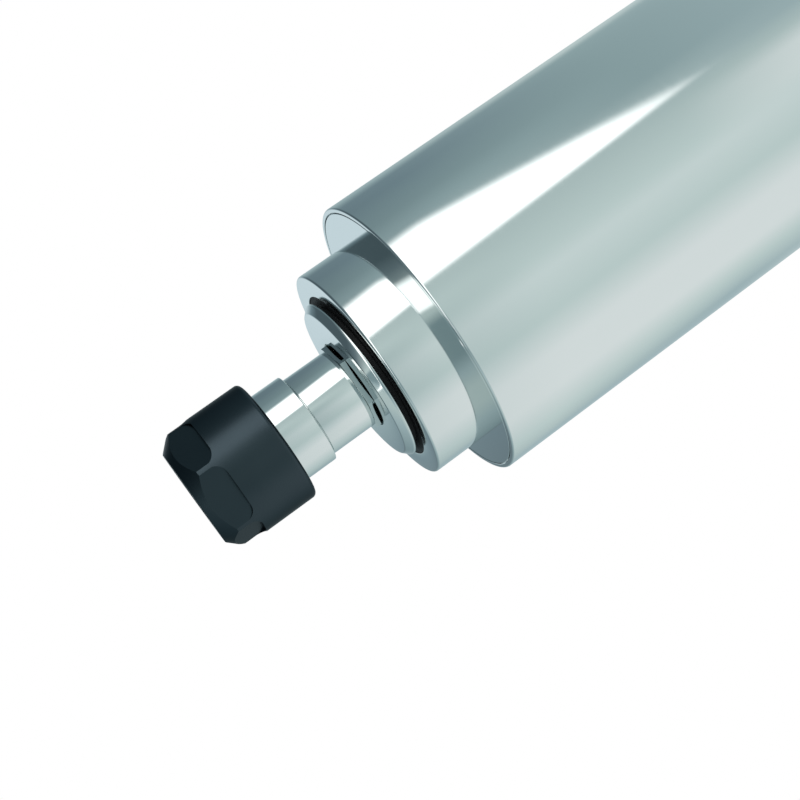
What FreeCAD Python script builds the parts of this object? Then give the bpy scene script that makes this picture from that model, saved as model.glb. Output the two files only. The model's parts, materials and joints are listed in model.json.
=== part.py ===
import FreeCAD, Part
import math
import os

V = FreeCAD.Vector

# Water-cooled motor spindle. Millimetres. The spindle axis is Z and the nose points down, towards -Z.
# The origin is on the axis, where the clamping cylinder of the body begins behind its rounded front rim.

# Fits and clearances
SEAT_GAP = 0.02        # radial gap of a piece seated in or on another of its own body
RUNNING_GAP = 0.05     # radial gap between pieces that turn or slide against each other
SEAL_GAP = 0.15        # gap in front of a seal lip or a labyrinth face
SCREW_GAP = 0.2        # radial gap round a screw shank or head
TAP_SPARE = 0.5        # depth of a tapped hole past the end of its screw
OVERCUT = 1.0          # how far a cutting shape runs past the face that it opens
FULL_TURN = 360.0
HEX_SIDES = 6
HALF_SIDE_ANGLE = 30.0  # from the middle of a hexagon's side to its corner

# Body
BODY_RADIUS = 40.0
BODY_LENGTH = 213.0    # shoulder face to rear face
BODY_EDGE_RADIUS = 0.5
JACKET_WALL = 2.5

# Front housing and its collar
COLLAR_RADIUS = 30.1
COLLAR_LENGTH = 15.6
COLLAR_EDGE_RADIUS = 0.6
COLLAR_RIM = 6.2
COLLAR_RECESS = 2.9
FLANGE_THICKNESS = 12.2

# Front slinger nut and seal
SLINGER_RADIUS = 23.0
SLINGER_THICKNESS = 2.4
SLINGER_PROUD = 3.7
SLINGER_CHAMFER = 1.7
SLINGER_HUB_RADIUS = 16.0
SLINGER_EDGE_RADIUS = 0.3
V_RING_RADIUS = 20.6
V_RING_LIP_RADIUS = 22.6
V_RING_LIP_THICKNESS = 1.0
V_RING_BODY_SHARE = 0.55  # share of the gap behind the slinger that the ring's body fills
V_RING_EDGE_RADIUS = 0.3
V_RING_UNDERCUT = 1.5
SLINGER_NOSE_SHARE = 0.75  # share of the hub's wall that bears on the inner ring

# Shaft
HEX_CLEARANCE = 0.38   # corners of the spanner flats to the radius of the bearing seat
HEX_LENGTH = 1.6
HEX_DEPTH = 1.3        # how far the flats run in under the slinger's face
NECK_RADIUS = 11.2
NECK_LENGTH = 13.1
NECK_GROOVE_WIDTH = 0.6
NECK_GROOVE_DEPTH = 0.4
THREAD_RADIUS = 12.5
NOSE_CHAMFER = 0.6
SHAFT_SHOULDER_RADIUS = 15.0
SHAFT_SHOULDER_LENGTH = 9.0
ROTOR_SEAT_RADIUS = 9.8
REAR_SHOULDER_RADIUS = 9.0
REAR_THREAD_LENGTH = 7.0
REAR_NUT_CLEARANCE = 1.15
REAR_NUT_LENGTH = 6.0
REAR_NUT_SLOT = 3.0
SHANK_BORE_STEP = 0.4  # how much smaller the shank bore is than the end of the taper
SHANK_BORE_DEPTH = 38.0
COLLET_TAIL_ROOM = 1.5
SHAFT_END_EDGE_RADIUS = 0.8
REAR_NUT_SLOT_DEPTH = 1.5

# Collet and its clamping nut
TAPER_ANGLE = 8.0
TAPER_MOUTH_RADIUS = 10.5
TAPER_GAP = 0.03
COLLET_LENGTH = 31.5
COLLET_BORE_RADIUS = 3.0
COLLET_PROTRUSION = 8.3
COLLET_SETBACK = 0.2   # collet face to the rear end of the nut's lip
COLLET_FACE_RADIUS = 8.0
COLLET_HEAD_RADIUS = 9.9
COLLET_HEAD_ANGLE = 30.0
COLLET_HEAD_LAND = 0.6
COLLET_GROOVE_RADIUS = 8.7
COLLET_GROOVE_WIDTH = 2.5
COLLET_SLITS = 6
COLLET_SLIT_WIDTH = 0.4
COLLET_SLIT_TURN = 8.0  # direction of the first slit, in degrees
COLLET_SLIT_STOP = 5.0
COLLET_HEAD_STOP = 8.0
NUT_RADIUS = 17.0
NUT_SETBACK = 9.1      # plain thread between the neck groove and the back of the nut
NUT_LENGTH = 25.2
NUT_EDGE_RADIUS = 1.3
NUT_ACROSS = 30.0
NUT_FLAT_LENGTH = 9.8
NUT_FLAT_CORNER = 4.0
NUT_CHAMFER_RADIAL = 3.8
NUT_CHAMFER_AXIAL = 2.9
NUT_LIP_LENGTH = 1.0
NUT_LIP_STEP = 0.8
NUT_RIM_OFFSET = 0.45
NUT_RIM_THICKNESS = 1.7
NUT_CAVITY_RADIUS = 11.3
NUT_HEAD_GAP = 0.12
NUT_RIM_GAP = 0.2
NUT_RIM_CUT_GAP = 0.15
NUT_NOSE_ROOM = 0.8
NUT_FLAT_MARGIN = 0.1  # how far a flat's tool runs past the round of the nut on each side
NUT_TURN = 12.0        # direction of the first ridge between two flats, in degrees

# Front bearing pair
FRONT_BEARING_SETBACK = 8.3
FRONT_BORE_SHARE = 1 / 3  # bore of the front bearings as a share of the jacket's
FRONT_OUTER_RATIO = 1.88  # outside of the front bearings over their bore
FRONT_BEARING_WIDTH = 12.0
FRONT_SPACER_WIDTH = 4.0
FRONT_BALLS = 11
RETAINER_THICKNESS = 4.0
RETAINER_SCREWS = 6

# Rear bearing pair
REAR_BORE_SHARE = 0.2   # bore of the rear bearings as a share of the jacket's
REAR_OUTER_RATIO = 1.28  # outside of the rear bearings over the bore of the front ones
REAR_BEARING_WIDTH = 9.0
REAR_SPACER_WIDTH = 2.0
REAR_BALLS = 9
REAR_BEARING_SETBACK = 11.0  # end of the windings to the seat of the rear bearings
REAR_HOUSING_THICKNESS = 14.0
REAR_SPIGOT = 12.0
REAR_SEAT_LIP = 2.5
REAR_BOSS_WALL = 5.0
REAR_WEB = 4.0
REAR_SPIGOT_WALL = 4.0
SPRING_THICKNESS = 0.7
SPRING_RISE = 1.6
SPRING_GAP = 0.3
COVER_STEP = 0.5       # how far the cover stands out past the boss that it closes
COVER_THICKNESS = 3.0
COVER_SCREWS = 4
RING_SHARE = 0.3       # wall of a bearing ring as a share of the bearing's section
BALL_SHARE = 0.285     # radius of a ball as a share of the same
CAGE_WALL = 1.3

# Motor
ROTOR_RADIUS = 16.5
AIR_GAP = 0.5
CORE_SETBACK = 12.8    # end of the front bearings to the windings
STATOR_SLOTS = 18
SLOT_DEPTH = 7.0
SLOT_WIDTH = 3.2
SLOT_MOUTH = 1.2
WINDING_OVERHANG = 13.0
WINDING_EDGE_RADIUS = 2.6
WINDING_GAP = 0.3
COIL_SIDE_REACH = 3.0
ROTOR_BARS = 14
BAR_RADIUS = 1.5
CAGE_END_LENGTH = 5.0
CAGE_END_SETBACK = 1.5
BAR_SKIN = 0.5
BALANCE_RING_LENGTH = 5.0
BALANCE_RING_RADIUS = 15.5
BALANCE_DRILLING_RADIUS = 1.2
BALANCE_DRILLING_ANGLES = (20.0, 55.0, 205.0)

# Cooling cylinder
CHANNEL_DEPTH = 3.0
CHANNEL_LAND = 3.0
CHANNEL_COUNT = 10
CHANNEL_START = 14.0   # front end of the cooling cylinder to its first channel
CHANNEL_END = 20.6     # last channel to the rear end of the cooling cylinder
LINER_WALL = 7.0
FEED_WIDTH = 8.0
FEED_RIB_ANGLE = 14.0
PORT_INSET = 5.1       # middle of a water port to the jacket
PORT_RADIUS = 2.4
DRILLING_RADIUS = 1.4
O_RING_RADIUS = 1.0
O_RING_SQUEEZE = 0.2
O_RING_GROOVE_WIDTH = 2.6
O_RING_ROUNDING = 0.45  # corner radius as a share of the squeezed height
SEAL_SETBACK = 5.0     # end of the cooling cylinder to its seal

# Rear cap and what it carries
CAP_THICKNESS = 10.0
CAP_WALL = 9.0
CAP_ROOM = 13.4        # rear housing to the inside of the cap
CAP_EDGE_RADIUS = 1.0
CAP_SCREWS = 6
CAP_SCREW_INSET = 4.7  # middle of a cap screw to the jacket
CAP_SCREW_START = 30.0
SCREW_RADIUS = 2.0
SCREW_HEAD_RADIUS = 3.5
SCREW_HEAD_HEIGHT = 4.0
SOCKET_DEPTH_SHARE = 0.6
SCREW_BITE = 9.0
SMALL_SCREW_RADIUS = 1.5
SMALL_HEAD_RADIUS = 2.7
SMALL_HEAD_HEIGHT = 2.4
SMALL_SCREW_BITE = 6.0
INLET_ANGLE = -62.0
OUTLET_ANGLE = -118.0
NIPPLE_THREAD_RADIUS = 4.8
NIPPLE_THREAD_LENGTH = 7.0
NIPPLE_HEX_ACROSS = 12.0
NIPPLE_HEX_HEIGHT = 5.0
NIPPLE_STEM_RADIUS = 3.0
NIPPLE_STEM_LENGTH = 16.0
NIPPLE_BORE_RADIUS = 1.8
NIPPLE_TIP_CHAMFER = 0.5
WIRE_HOLE_WALL = 0.95
WASHER_THICKNESS = 1.2
WASHER_RADIUS = 6.2
CONNECTOR_Y = 10.0
CONNECTOR_RADIUS = 9.5
CONNECTOR_WALL = 1.5
CONNECTOR_HEIGHT = 14.0
CONNECTOR_FLANGE_RADIUS = 12.5
CONNECTOR_FLANGE = 3.0
CONNECTOR_NECK_RADIUS = 8.9
CONNECTOR_TAIL = 5.0   # how far the shell reaches in past the cap
PIN_TAIL = 2.0
PIN_CHAMFER = 0.3
CONNECTOR_NUT_ACROSS = 23.0
CONNECTOR_NUT_THICKNESS = 3.0
INSERT_DEPTH = 9.5     # mouth of the shell to the face of the insert
PIN_COUNT = 4
PIN_CIRCLE = 4.2
PIN_RADIUS = 0.95
PIN_HEIGHT = 5.0

# Stations along the axis, from the nose to the rear
SHOULDER_Z = -BODY_EDGE_RADIUS
COLLAR_FACE_Z = SHOULDER_Z - COLLAR_LENGTH
RECESS_Z = COLLAR_FACE_Z + COLLAR_RECESS
SLINGER_FACE_Z = COLLAR_FACE_Z - SLINGER_PROUD
SLINGER_BACK_Z = SLINGER_FACE_Z + SLINGER_THICKNESS
HEX_END_Z = SLINGER_FACE_Z - HEX_LENGTH
NECK_END_Z = HEX_END_Z - NECK_LENGTH
NUT_BACK_Z = NECK_END_Z - NUT_SETBACK
NUT_FRONT_Z = NUT_BACK_Z - NUT_LENGTH
COLLET_FACE_Z = NUT_FRONT_Z + NUT_LIP_LENGTH + COLLET_SETBACK
NOSE_Z = COLLET_FACE_Z + COLLET_PROTRUSION
COLLET_TAIL_Z = COLLET_FACE_Z + COLLET_LENGTH
FRONT_BEARING_Z = COLLAR_FACE_Z + FRONT_BEARING_SETBACK
FRONT_STACK_END_Z = FRONT_BEARING_Z + 2 * FRONT_BEARING_WIDTH + FRONT_SPACER_WIDTH
FLANGE_BACK_Z = SHOULDER_Z + FLANGE_THICKNESS
REAR_FACE_Z = SHOULDER_Z + BODY_LENGTH
JACKET_END_Z = REAR_FACE_Z - CAP_THICKNESS
REAR_FLANGE_END_Z = JACKET_END_Z - CAP_ROOM
REAR_FLANGE_Z = REAR_FLANGE_END_Z - REAR_HOUSING_THICKNESS
REAR_STACK_END_Z = REAR_FLANGE_END_Z - SPRING_THICKNESS - SPRING_RISE
REAR_SEAT_Z = REAR_STACK_END_Z - 2 * REAR_BEARING_WIDTH - REAR_SPACER_WIDTH
CORE_START = FRONT_STACK_END_Z + CORE_SETBACK + WINDING_OVERHANG
CORE_END_Z = REAR_SEAT_Z - REAR_BEARING_SETBACK - WINDING_OVERHANG
CORE_LENGTH = CORE_END_Z - CORE_START
SHAFT_END_Z = REAR_STACK_END_Z + REAR_THREAD_LENGTH
LINER_SEAL_ZS = [FLANGE_BACK_Z + SEAL_SETBACK, REAR_FLANGE_Z - SEAL_SETBACK]
CAP_SEAL_Z = (REAR_FLANGE_END_Z + JACKET_END_Z) / 2

# Radii that follow from the ones above
JACKET_BORE = BODY_RADIUS - JACKET_WALL
LINER_RADIUS = JACKET_BORE - SEAT_GAP
STATOR_RADIUS = JACKET_BORE - LINER_WALL
PORT_CIRCLE = JACKET_BORE - PORT_INSET
CAP_INNER_RADIUS = LINER_RADIUS - CAP_WALL
CAP_SCREW_CIRCLE = JACKET_BORE - CAP_SCREW_INSET
FRONT_BORE_RADIUS = JACKET_BORE * FRONT_BORE_SHARE
FRONT_OUTER_RADIUS = FRONT_BORE_RADIUS * FRONT_OUTER_RATIO
FRONT_RING_WALL = RING_SHARE * (FRONT_OUTER_RADIUS - FRONT_BORE_RADIUS)
FRONT_BALL_RADIUS = BALL_SHARE * (FRONT_OUTER_RADIUS - FRONT_BORE_RADIUS)
RETAINER_CIRCLE = (FRONT_OUTER_RADIUS + STATOR_RADIUS) / 2
REAR_BORE_RADIUS = JACKET_BORE * REAR_BORE_SHARE
REAR_OUTER_RADIUS = FRONT_BORE_RADIUS * REAR_OUTER_RATIO
REAR_RING_WALL = RING_SHARE * (REAR_OUTER_RADIUS - REAR_BORE_RADIUS)
REAR_BALL_RADIUS = BALL_SHARE * (REAR_OUTER_RADIUS - REAR_BORE_RADIUS)
REAR_LIP_BORE_RADIUS = (REAR_OUTER_RADIUS + REAR_BORE_RADIUS) / 2
REAR_NUT_RADIUS = REAR_LIP_BORE_RADIUS - REAR_NUT_CLEARANCE
REAR_BOSS_RADIUS = REAR_OUTER_RADIUS + REAR_BOSS_WALL
SPIGOT_BORE_RADIUS = STATOR_RADIUS - REAR_SPIGOT_WALL
COVER_RADIUS = REAR_BOSS_RADIUS + COVER_STEP
COVER_CIRCLE = (REAR_OUTER_RADIUS + COVER_RADIUS) / 2
WIRE_HOLE_CIRCLE = (REAR_BOSS_RADIUS + SPIGOT_BORE_RADIUS) / 2
WIRE_HOLE_RADIUS = (SPIGOT_BORE_RADIUS - REAR_BOSS_RADIUS) / 2 - WIRE_HOLE_WALL
HEX_CORNER_RADIUS = FRONT_BORE_RADIUS - HEX_CLEARANCE
HEX_ACROSS = 2 * HEX_CORNER_RADIUS * math.cos(math.radians(HALF_SIDE_ANGLE))
CHANNEL_PITCH = (REAR_FLANGE_Z - CHANNEL_END - FLANGE_BACK_Z - CHANNEL_START + CHANNEL_LAND) / CHANNEL_COUNT
CHANNEL_WIDTH = CHANNEL_PITCH - CHANNEL_LAND
SLOPE = math.tan(math.radians(TAPER_ANGLE))
HEAD_SLOPE = math.tan(math.radians(COLLET_HEAD_ANGLE))


def corner(before, point, after):
    """Return the two tangent points and the middle of the arc that rounds a corner."""
    p = V(point[0], 0, point[1])
    back = (V(before[0], 0, before[1]) - p).normalize()
    ahead = (V(after[0], 0, after[1]) - p).normalize()
    half = back.getAngle(ahead) / 2
    reach = point[2] / math.tan(half)
    inward = (back + ahead).normalize()
    middle = p + inward * (point[2] / math.sin(half) - point[2])
    return p + back * reach, middle, p + ahead * reach


def outline(points):
    """Return a flat face in the XZ plane from (x, z) points; a third number rounds that corner."""
    edges = []
    starts = []
    ends = []
    count = len(points)
    for i, point in enumerate(points):
        if len(point) == 3:
            first, middle, last = corner(points[i - 1], point, points[(i + 1) % count])
            edges.append(Part.Arc(first, middle, last).toShape())
        else:
            first = last = V(point[0], 0, point[1])
        starts.append(first)
        ends.append(last)
    for i in range(count):
        edges.append(Part.LineSegment(ends[i], starts[(i + 1) % count]).toShape())
    return Part.Face(Part.Wire(Part.__sortEdges__(edges)))


def revolved(points):
    """Turn a closed outline of (radius, z) points into a solid."""
    return outline(points).revolve(V(0, 0, 0), V(0, 0, 1), FULL_TURN)


def rod(radius, low, high, x=0.0, y=0.0):
    return Part.makeCylinder(radius, high - low, V(x, y, low))


def ring(inner, outer, low, high):
    return rod(outer, low, high).cut(rod(inner, low - OVERCUT, high + OVERCUT))


def at(radius, angle):
    """Return x and y of a point at a radius and a direction in degrees."""
    return radius * math.cos(math.radians(angle)), radius * math.sin(math.radians(angle))


def turned(shape, angle):
    copy = shape.copy()
    copy.rotate(V(0, 0, 0), V(0, 0, 1), angle)
    return copy


def around(shape, count, start=0.0):
    """Return copies of a shape that stands at direction 0, evenly spaced about the axis."""
    return [turned(shape, start + i * FULL_TURN / count) for i in range(count)]


def prism(across, low, high, x=0.0, y=0.0, start=0.0):
    """Return an upright hexagonal prism with its first corner in a direction in degrees."""
    radius = across / 2 / math.cos(math.radians(HALF_SIDE_ANGLE))
    corners = [at(radius, start + 2 * HALF_SIDE_ANGLE * i) for i in range(HEX_SIDES + 1)]
    points = [V(x + corner_x, y + corner_y, low) for corner_x, corner_y in corners]
    return Part.Face(Part.makePolygon(points)).extrude(V(0, 0, high - low))


def torus_tool(pitch, radius, z):
    return Part.makeTorus(pitch, radius, V(0, 0, z), V(0, 0, 1))


def chamfered_top(cylinder, size):
    """Return an upright cylinder with its top edge chamfered."""
    top = cylinder.BoundBox.ZMax
    edges = [edge for edge in cylinder.Edges if edge.BoundBox.ZMin > top - size / 2]
    return cylinder.makeChamfer(size, edges)


def group(solids):
    return Part.Compound(solids)


# Housing


def outer_jacket():
    return revolved([(JACKET_BORE, SHOULDER_Z), (BODY_RADIUS, SHOULDER_Z, BODY_EDGE_RADIUS),
                     (BODY_RADIUS, JACKET_END_Z), (JACKET_BORE, JACKET_END_Z)])


def front_housing():
    seal_bore = SLINGER_HUB_RADIUS + SEAL_GAP
    recess = COLLAR_RADIUS - COLLAR_RIM
    spigot_end = FRONT_STACK_END_Z
    seat = FRONT_OUTER_RADIUS + SEAT_GAP
    body = revolved([(recess, COLLAR_FACE_Z), (COLLAR_RADIUS, COLLAR_FACE_Z, COLLAR_EDGE_RADIUS),
                     (COLLAR_RADIUS, SHOULDER_Z), (LINER_RADIUS, SHOULDER_Z), (LINER_RADIUS, FLANGE_BACK_Z),
                     (STATOR_RADIUS, FLANGE_BACK_Z), (STATOR_RADIUS, spigot_end), (seat, spigot_end),
                     (seat, FRONT_BEARING_Z), (seal_bore, FRONT_BEARING_Z), (seal_bore, RECESS_Z),
                     (recess, RECESS_Z)])
    tap_end = spigot_end - SMALL_SCREW_BITE
    hole = rod(SMALL_SCREW_RADIUS + SEAT_GAP, tap_end, spigot_end + OVERCUT, RETAINER_CIRCLE)
    return body.cut(around(hole, RETAINER_SCREWS))


def o_ring_groove(z):
    """Return the ring of metal that a groove takes out of a surface at the liner radius."""
    depth = 2 * O_RING_RADIUS - O_RING_SQUEEZE
    half = O_RING_GROOVE_WIDTH / 2
    return ring(LINER_RADIUS - depth, LINER_RADIUS + OVERCUT, z - half, z + half)


def o_ring(z):
    """Return an o-ring, squeezed to the depth of its groove."""
    depth = 2 * O_RING_RADIUS - O_RING_SQUEEZE
    inner = LINER_RADIUS - depth + SEAT_GAP
    outer = JACKET_BORE - SEAT_GAP
    edge = O_RING_ROUNDING * (outer - inner)
    return revolved([(inner, z - O_RING_RADIUS, edge), (outer, z - O_RING_RADIUS, edge),
                     (outer, z + O_RING_RADIUS, edge), (inner, z + O_RING_RADIUS, edge)])


def channel_sector(low, high, start, sweep):
    """Return the room that the water takes up between two heights, from a direction through a sweep."""
    floor = LINER_RADIUS - CHANNEL_DEPTH
    outside = LINER_RADIUS + OVERCUT
    section = outline([(floor, low), (outside, low), (outside, high), (floor, high)])
    return turned(section.revolve(V(0, 0, 0), V(0, 0, 1), sweep), start)


def port_drilling(angle, z):
    """Return the axial hole from the rear face of the cooling cylinder and the cross hole that meets it."""
    x, y = at(PORT_CIRCLE, angle)
    axial = rod(DRILLING_RADIUS, z - 2 * DRILLING_RADIUS, REAR_FLANGE_Z + OVERCUT, x, y)
    cross = Part.makeCylinder(DRILLING_RADIUS, LINER_RADIUS - PORT_CIRCLE + OVERCUT, V(x, y, z), V(x, y, 0))
    return axial.fuse(cross)


def cooling_cylinder():
    """Return the cylinder that cools the stator: water runs forward in a feed slot beside a rib on each
    side, then back through rings that are joined by gates on alternate sides of the ribs."""
    blank = ring(STATOR_RADIUS + SEAT_GAP, LINER_RADIUS, FLANGE_BACK_Z, REAR_FLANGE_Z)
    first = FLANGE_BACK_Z + CHANNEL_START
    last = REAR_FLANGE_Z - CHANNEL_END
    feed_angle = math.degrees(FEED_WIDTH / LINER_RADIUS)
    ring_start = feed_angle / 2 + FEED_RIB_ANGLE
    room = channel_sector(first, last, INLET_ANGLE - feed_angle / 2, feed_angle)
    for i in range(CHANNEL_COUNT):
        low = first + i * CHANNEL_PITCH
        start = 0 if i == 0 else ring_start
        room = room.fuse(channel_sector(low, low + CHANNEL_WIDTH, INLET_ANGLE + start,
                                        FULL_TURN - 2 * start))
        if i < CHANNEL_COUNT - 1:
            gate = ring_start if i % 2 == 0 else -ring_start - feed_angle
            room = room.fuse(channel_sector(low, low + CHANNEL_PITCH, INLET_ANGLE + gate, feed_angle))
    tools = [room] + [o_ring_groove(z) for z in LINER_SEAL_ZS]
    tools += [port_drilling(angle, last - CHANNEL_WIDTH / 2) for angle in (INLET_ANGLE, OUTLET_ANGLE)]
    for tool in tools:
        blank = blank.cut(tool)
    return blank.removeSplitter()


def liner_o_rings():
    return group([o_ring(z) for z in LINER_SEAL_ZS])


def outer_rings(bore, outer, width, spacer, ball, start):
    """Return the two outer rings of a bearing pair, each with its ball groove."""
    pitch = (bore + outer) / 2
    wall = RING_SHARE * (outer - bore)
    rings = []
    for low in (start, start + width + spacer):
        blank = ring(outer - wall, outer, low, low + width)
        rings.append(blank.cut(torus_tool(pitch, ball + RUNNING_GAP, low + width / 2)))
    return group(rings)


def inner_rings(bore, outer, width, spacer, ball, start):
    """Return the two inner rings of a bearing pair, each with its ball groove."""
    pitch = (bore + outer) / 2
    wall = RING_SHARE * (outer - bore)
    rings = []
    for low in (start, start + width + spacer):
        blank = ring(bore + SEAT_GAP, bore + wall, low, low + width)
        rings.append(blank.cut(torus_tool(pitch, ball + RUNNING_GAP, low + width / 2)))
    return group(rings)


def ball_zs(width, spacer, start):
    return [start + width / 2, start + 1.5 * width + spacer]


def balls(bore, outer, width, spacer, ball, start, count):
    pitch = (bore + outer) / 2
    solids = []
    for z in ball_zs(width, spacer, start):
        solids += around(Part.makeSphere(ball, V(pitch, 0, z)), count)
    return group(solids)


def cages(bore, outer, width, spacer, ball, start, count):
    """Return the two ball cages, each a band with a pocket round every ball."""
    pitch = (bore + outer) / 2
    bands = []
    for z in ball_zs(width, spacer, start):
        reach = ball + CAGE_WALL
        band = ring(pitch - CAGE_WALL / 2, pitch + CAGE_WALL / 2, z - reach, z + reach)
        start_point = V(pitch - 2 * CAGE_WALL, 0, z)
        pocket = Part.makeCylinder(ball + RUNNING_GAP, 4 * CAGE_WALL, start_point, V(1, 0, 0))
        bands.append(band.cut(around(pocket, count)))
    return group(bands)


FRONT_PAIR = (FRONT_BORE_RADIUS, FRONT_OUTER_RADIUS, FRONT_BEARING_WIDTH, FRONT_SPACER_WIDTH,
              FRONT_BALL_RADIUS, FRONT_BEARING_Z)
REAR_PAIR = (REAR_BORE_RADIUS, REAR_OUTER_RADIUS, REAR_BEARING_WIDTH, REAR_SPACER_WIDTH,
             REAR_BALL_RADIUS, REAR_SEAT_Z)


def outer_spacer(bore, outer, width, spacer, ball, start):
    wall = RING_SHARE * (outer - bore)
    return ring(outer - wall, outer, start + width, start + width + spacer)


def inner_spacer(bore, outer, width, spacer, ball, start):
    wall = RING_SHARE * (outer - bore)
    return ring(bore + SEAT_GAP, bore + wall, start + width, start + width + spacer)


def front_retainer():
    """Return the ring that holds the front outer rings against their seat."""
    low = FRONT_STACK_END_Z
    high = low + RETAINER_THICKNESS
    plate = ring(FRONT_OUTER_RADIUS - FRONT_RING_WALL, STATOR_RADIUS - SEAT_GAP, low, high)
    hole = rod(SMALL_SCREW_RADIUS + SCREW_GAP, low - OVERCUT, high + OVERCUT, RETAINER_CIRCLE)
    return plate.cut(around(hole, RETAINER_SCREWS))


def socket_screw(radius, head_radius, head_height, seat_z, shank_end_z, x):
    """Return a socket-head screw that stands on seat_z with its head up."""
    top = seat_z + head_height
    head = rod(head_radius, seat_z, top, x)
    shank = rod(radius, shank_end_z, seat_z + head_height / 2, x)
    socket = prism(head_radius, top - SOCKET_DEPTH_SHARE * head_height, top + OVERCUT, x)
    return head.fuse(shank).cut(socket)


def front_retainer_screws():
    seat = FRONT_STACK_END_Z + RETAINER_THICKNESS
    end = FRONT_STACK_END_Z - SMALL_SCREW_BITE + TAP_SPARE
    return group(around(socket_screw(SMALL_SCREW_RADIUS, SMALL_HEAD_RADIUS, SMALL_HEAD_HEIGHT, seat, end,
                                     RETAINER_CIRCLE), RETAINER_SCREWS))


def stator_slot(low, high, gap):
    """Return one slot tool with straight sides and a narrow mouth, smaller all round by a gap."""
    bore = ROTOR_RADIUS + AIR_GAP
    return Part.makeBox(SLOT_DEPTH - SLOT_MOUTH - 2 * gap, SLOT_WIDTH - 2 * gap, high - low,
                        V(bore + SLOT_MOUTH + gap, -SLOT_WIDTH / 2 + gap, low))


def stator_core():
    bore = ROTOR_RADIUS + AIR_GAP
    core = ring(bore, STATOR_RADIUS, CORE_START, CORE_END_Z)
    tools = around(stator_slot(CORE_START - OVERCUT, CORE_END_Z + OVERCUT, 0), STATOR_SLOTS)
    mouth = Part.makeBox(SLOT_MOUTH + 2 * OVERCUT, SLOT_MOUTH, CORE_LENGTH + 2 * OVERCUT,
                         V(bore - OVERCUT, -SLOT_MOUTH / 2, CORE_START - OVERCUT))
    tools += around(mouth, STATOR_SLOTS)
    return core.cut(tools)


def stator_windings():
    """Return the coils: a bundle of wire at each end, joined by the sides that lie in the slots."""
    bore = ROTOR_RADIUS + AIR_GAP + SLOT_MOUTH + SEAT_GAP
    outer = bore + SLOT_DEPTH
    edge = WINDING_EDGE_RADIUS
    bundles = []
    for low, high in ((CORE_START - WINDING_OVERHANG, CORE_START - WINDING_GAP),
                      (CORE_END_Z + WINDING_GAP, CORE_END_Z + WINDING_OVERHANG)):
        bundles.append(revolved([(bore, low, edge), (outer, low, edge),
                                 (outer, high, edge), (bore, high, edge)]))
    side = stator_slot(CORE_START - COIL_SIDE_REACH, CORE_END_Z + COIL_SIDE_REACH, SEAT_GAP)
    sides = around(side, STATOR_SLOTS)
    return bundles[0].multiFuse([bundles[1]] + sides)


def rear_housing():
    bore = REAR_LIP_BORE_RADIUS
    seat = REAR_OUTER_RADIUS + SEAT_GAP
    low = REAR_FLANGE_Z - REAR_SPIGOT
    spigot = STATOR_RADIUS
    spigot_bore = SPIGOT_BORE_RADIUS
    lip_z = REAR_SEAT_Z - REAR_SEAT_LIP
    boss = REAR_BOSS_RADIUS
    web_z = REAR_FLANGE_Z - REAR_WEB
    top = REAR_FLANGE_END_Z + OVERCUT
    body = revolved([(bore, lip_z), (boss, lip_z), (boss, web_z), (spigot_bore, web_z),
                     (spigot_bore, low), (spigot, low), (spigot, REAR_FLANGE_Z),
                     (LINER_RADIUS, REAR_FLANGE_Z), (LINER_RADIUS, REAR_FLANGE_END_Z),
                     (seat, REAR_FLANGE_END_Z), (seat, REAR_SEAT_Z), (bore, REAR_SEAT_Z)])
    tools = [rod(PORT_RADIUS, REAR_FLANGE_Z - OVERCUT, top, *at(PORT_CIRCLE, angle))
             for angle in (INLET_ANGLE, OUTLET_ANGLE)]
    tap = rod(SCREW_RADIUS + SEAT_GAP, REAR_FLANGE_END_Z - SCREW_BITE, top, CAP_SCREW_CIRCLE)
    tools += around(tap, CAP_SCREWS, CAP_SCREW_START)
    small_tap = rod(SMALL_SCREW_RADIUS + SEAT_GAP, REAR_FLANGE_END_Z - SMALL_SCREW_BITE, top, COVER_CIRCLE)
    tools += around(small_tap, COVER_SCREWS)
    tools.append(rod(WIRE_HOLE_RADIUS, web_z - OVERCUT, top, *at(WIRE_HOLE_CIRCLE, 90)))
    for tool in tools:
        body = body.cut(tool)
    return body


def preload_spring():
    """Return the disc spring that pushes the rear outer rings forward."""
    top = REAR_FLANGE_END_Z
    inner = REAR_OUTER_RADIUS - REAR_RING_WALL + SPRING_GAP
    outer = REAR_OUTER_RADIUS - SPRING_GAP
    return revolved([(outer, REAR_STACK_END_Z), (outer, REAR_STACK_END_Z + SPRING_THICKNESS),
                     (inner, top), (inner, top - SPRING_THICKNESS)])


def rear_cover():
    high = REAR_FLANGE_END_Z + COVER_THICKNESS
    plate = ring(REAR_LIP_BORE_RADIUS, COVER_RADIUS, REAR_FLANGE_END_Z, high)
    hole = rod(SMALL_SCREW_RADIUS + SCREW_GAP, REAR_FLANGE_END_Z - OVERCUT, high + OVERCUT, COVER_CIRCLE)
    return plate.cut(around(hole, COVER_SCREWS))


def rear_cover_screws():
    seat = REAR_FLANGE_END_Z + COVER_THICKNESS
    end = REAR_FLANGE_END_Z - SMALL_SCREW_BITE + TAP_SPARE
    return group(around(socket_screw(SMALL_SCREW_RADIUS, SMALL_HEAD_RADIUS, SMALL_HEAD_HEIGHT, seat, end,
                                     COVER_CIRCLE), COVER_SCREWS))


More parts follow.
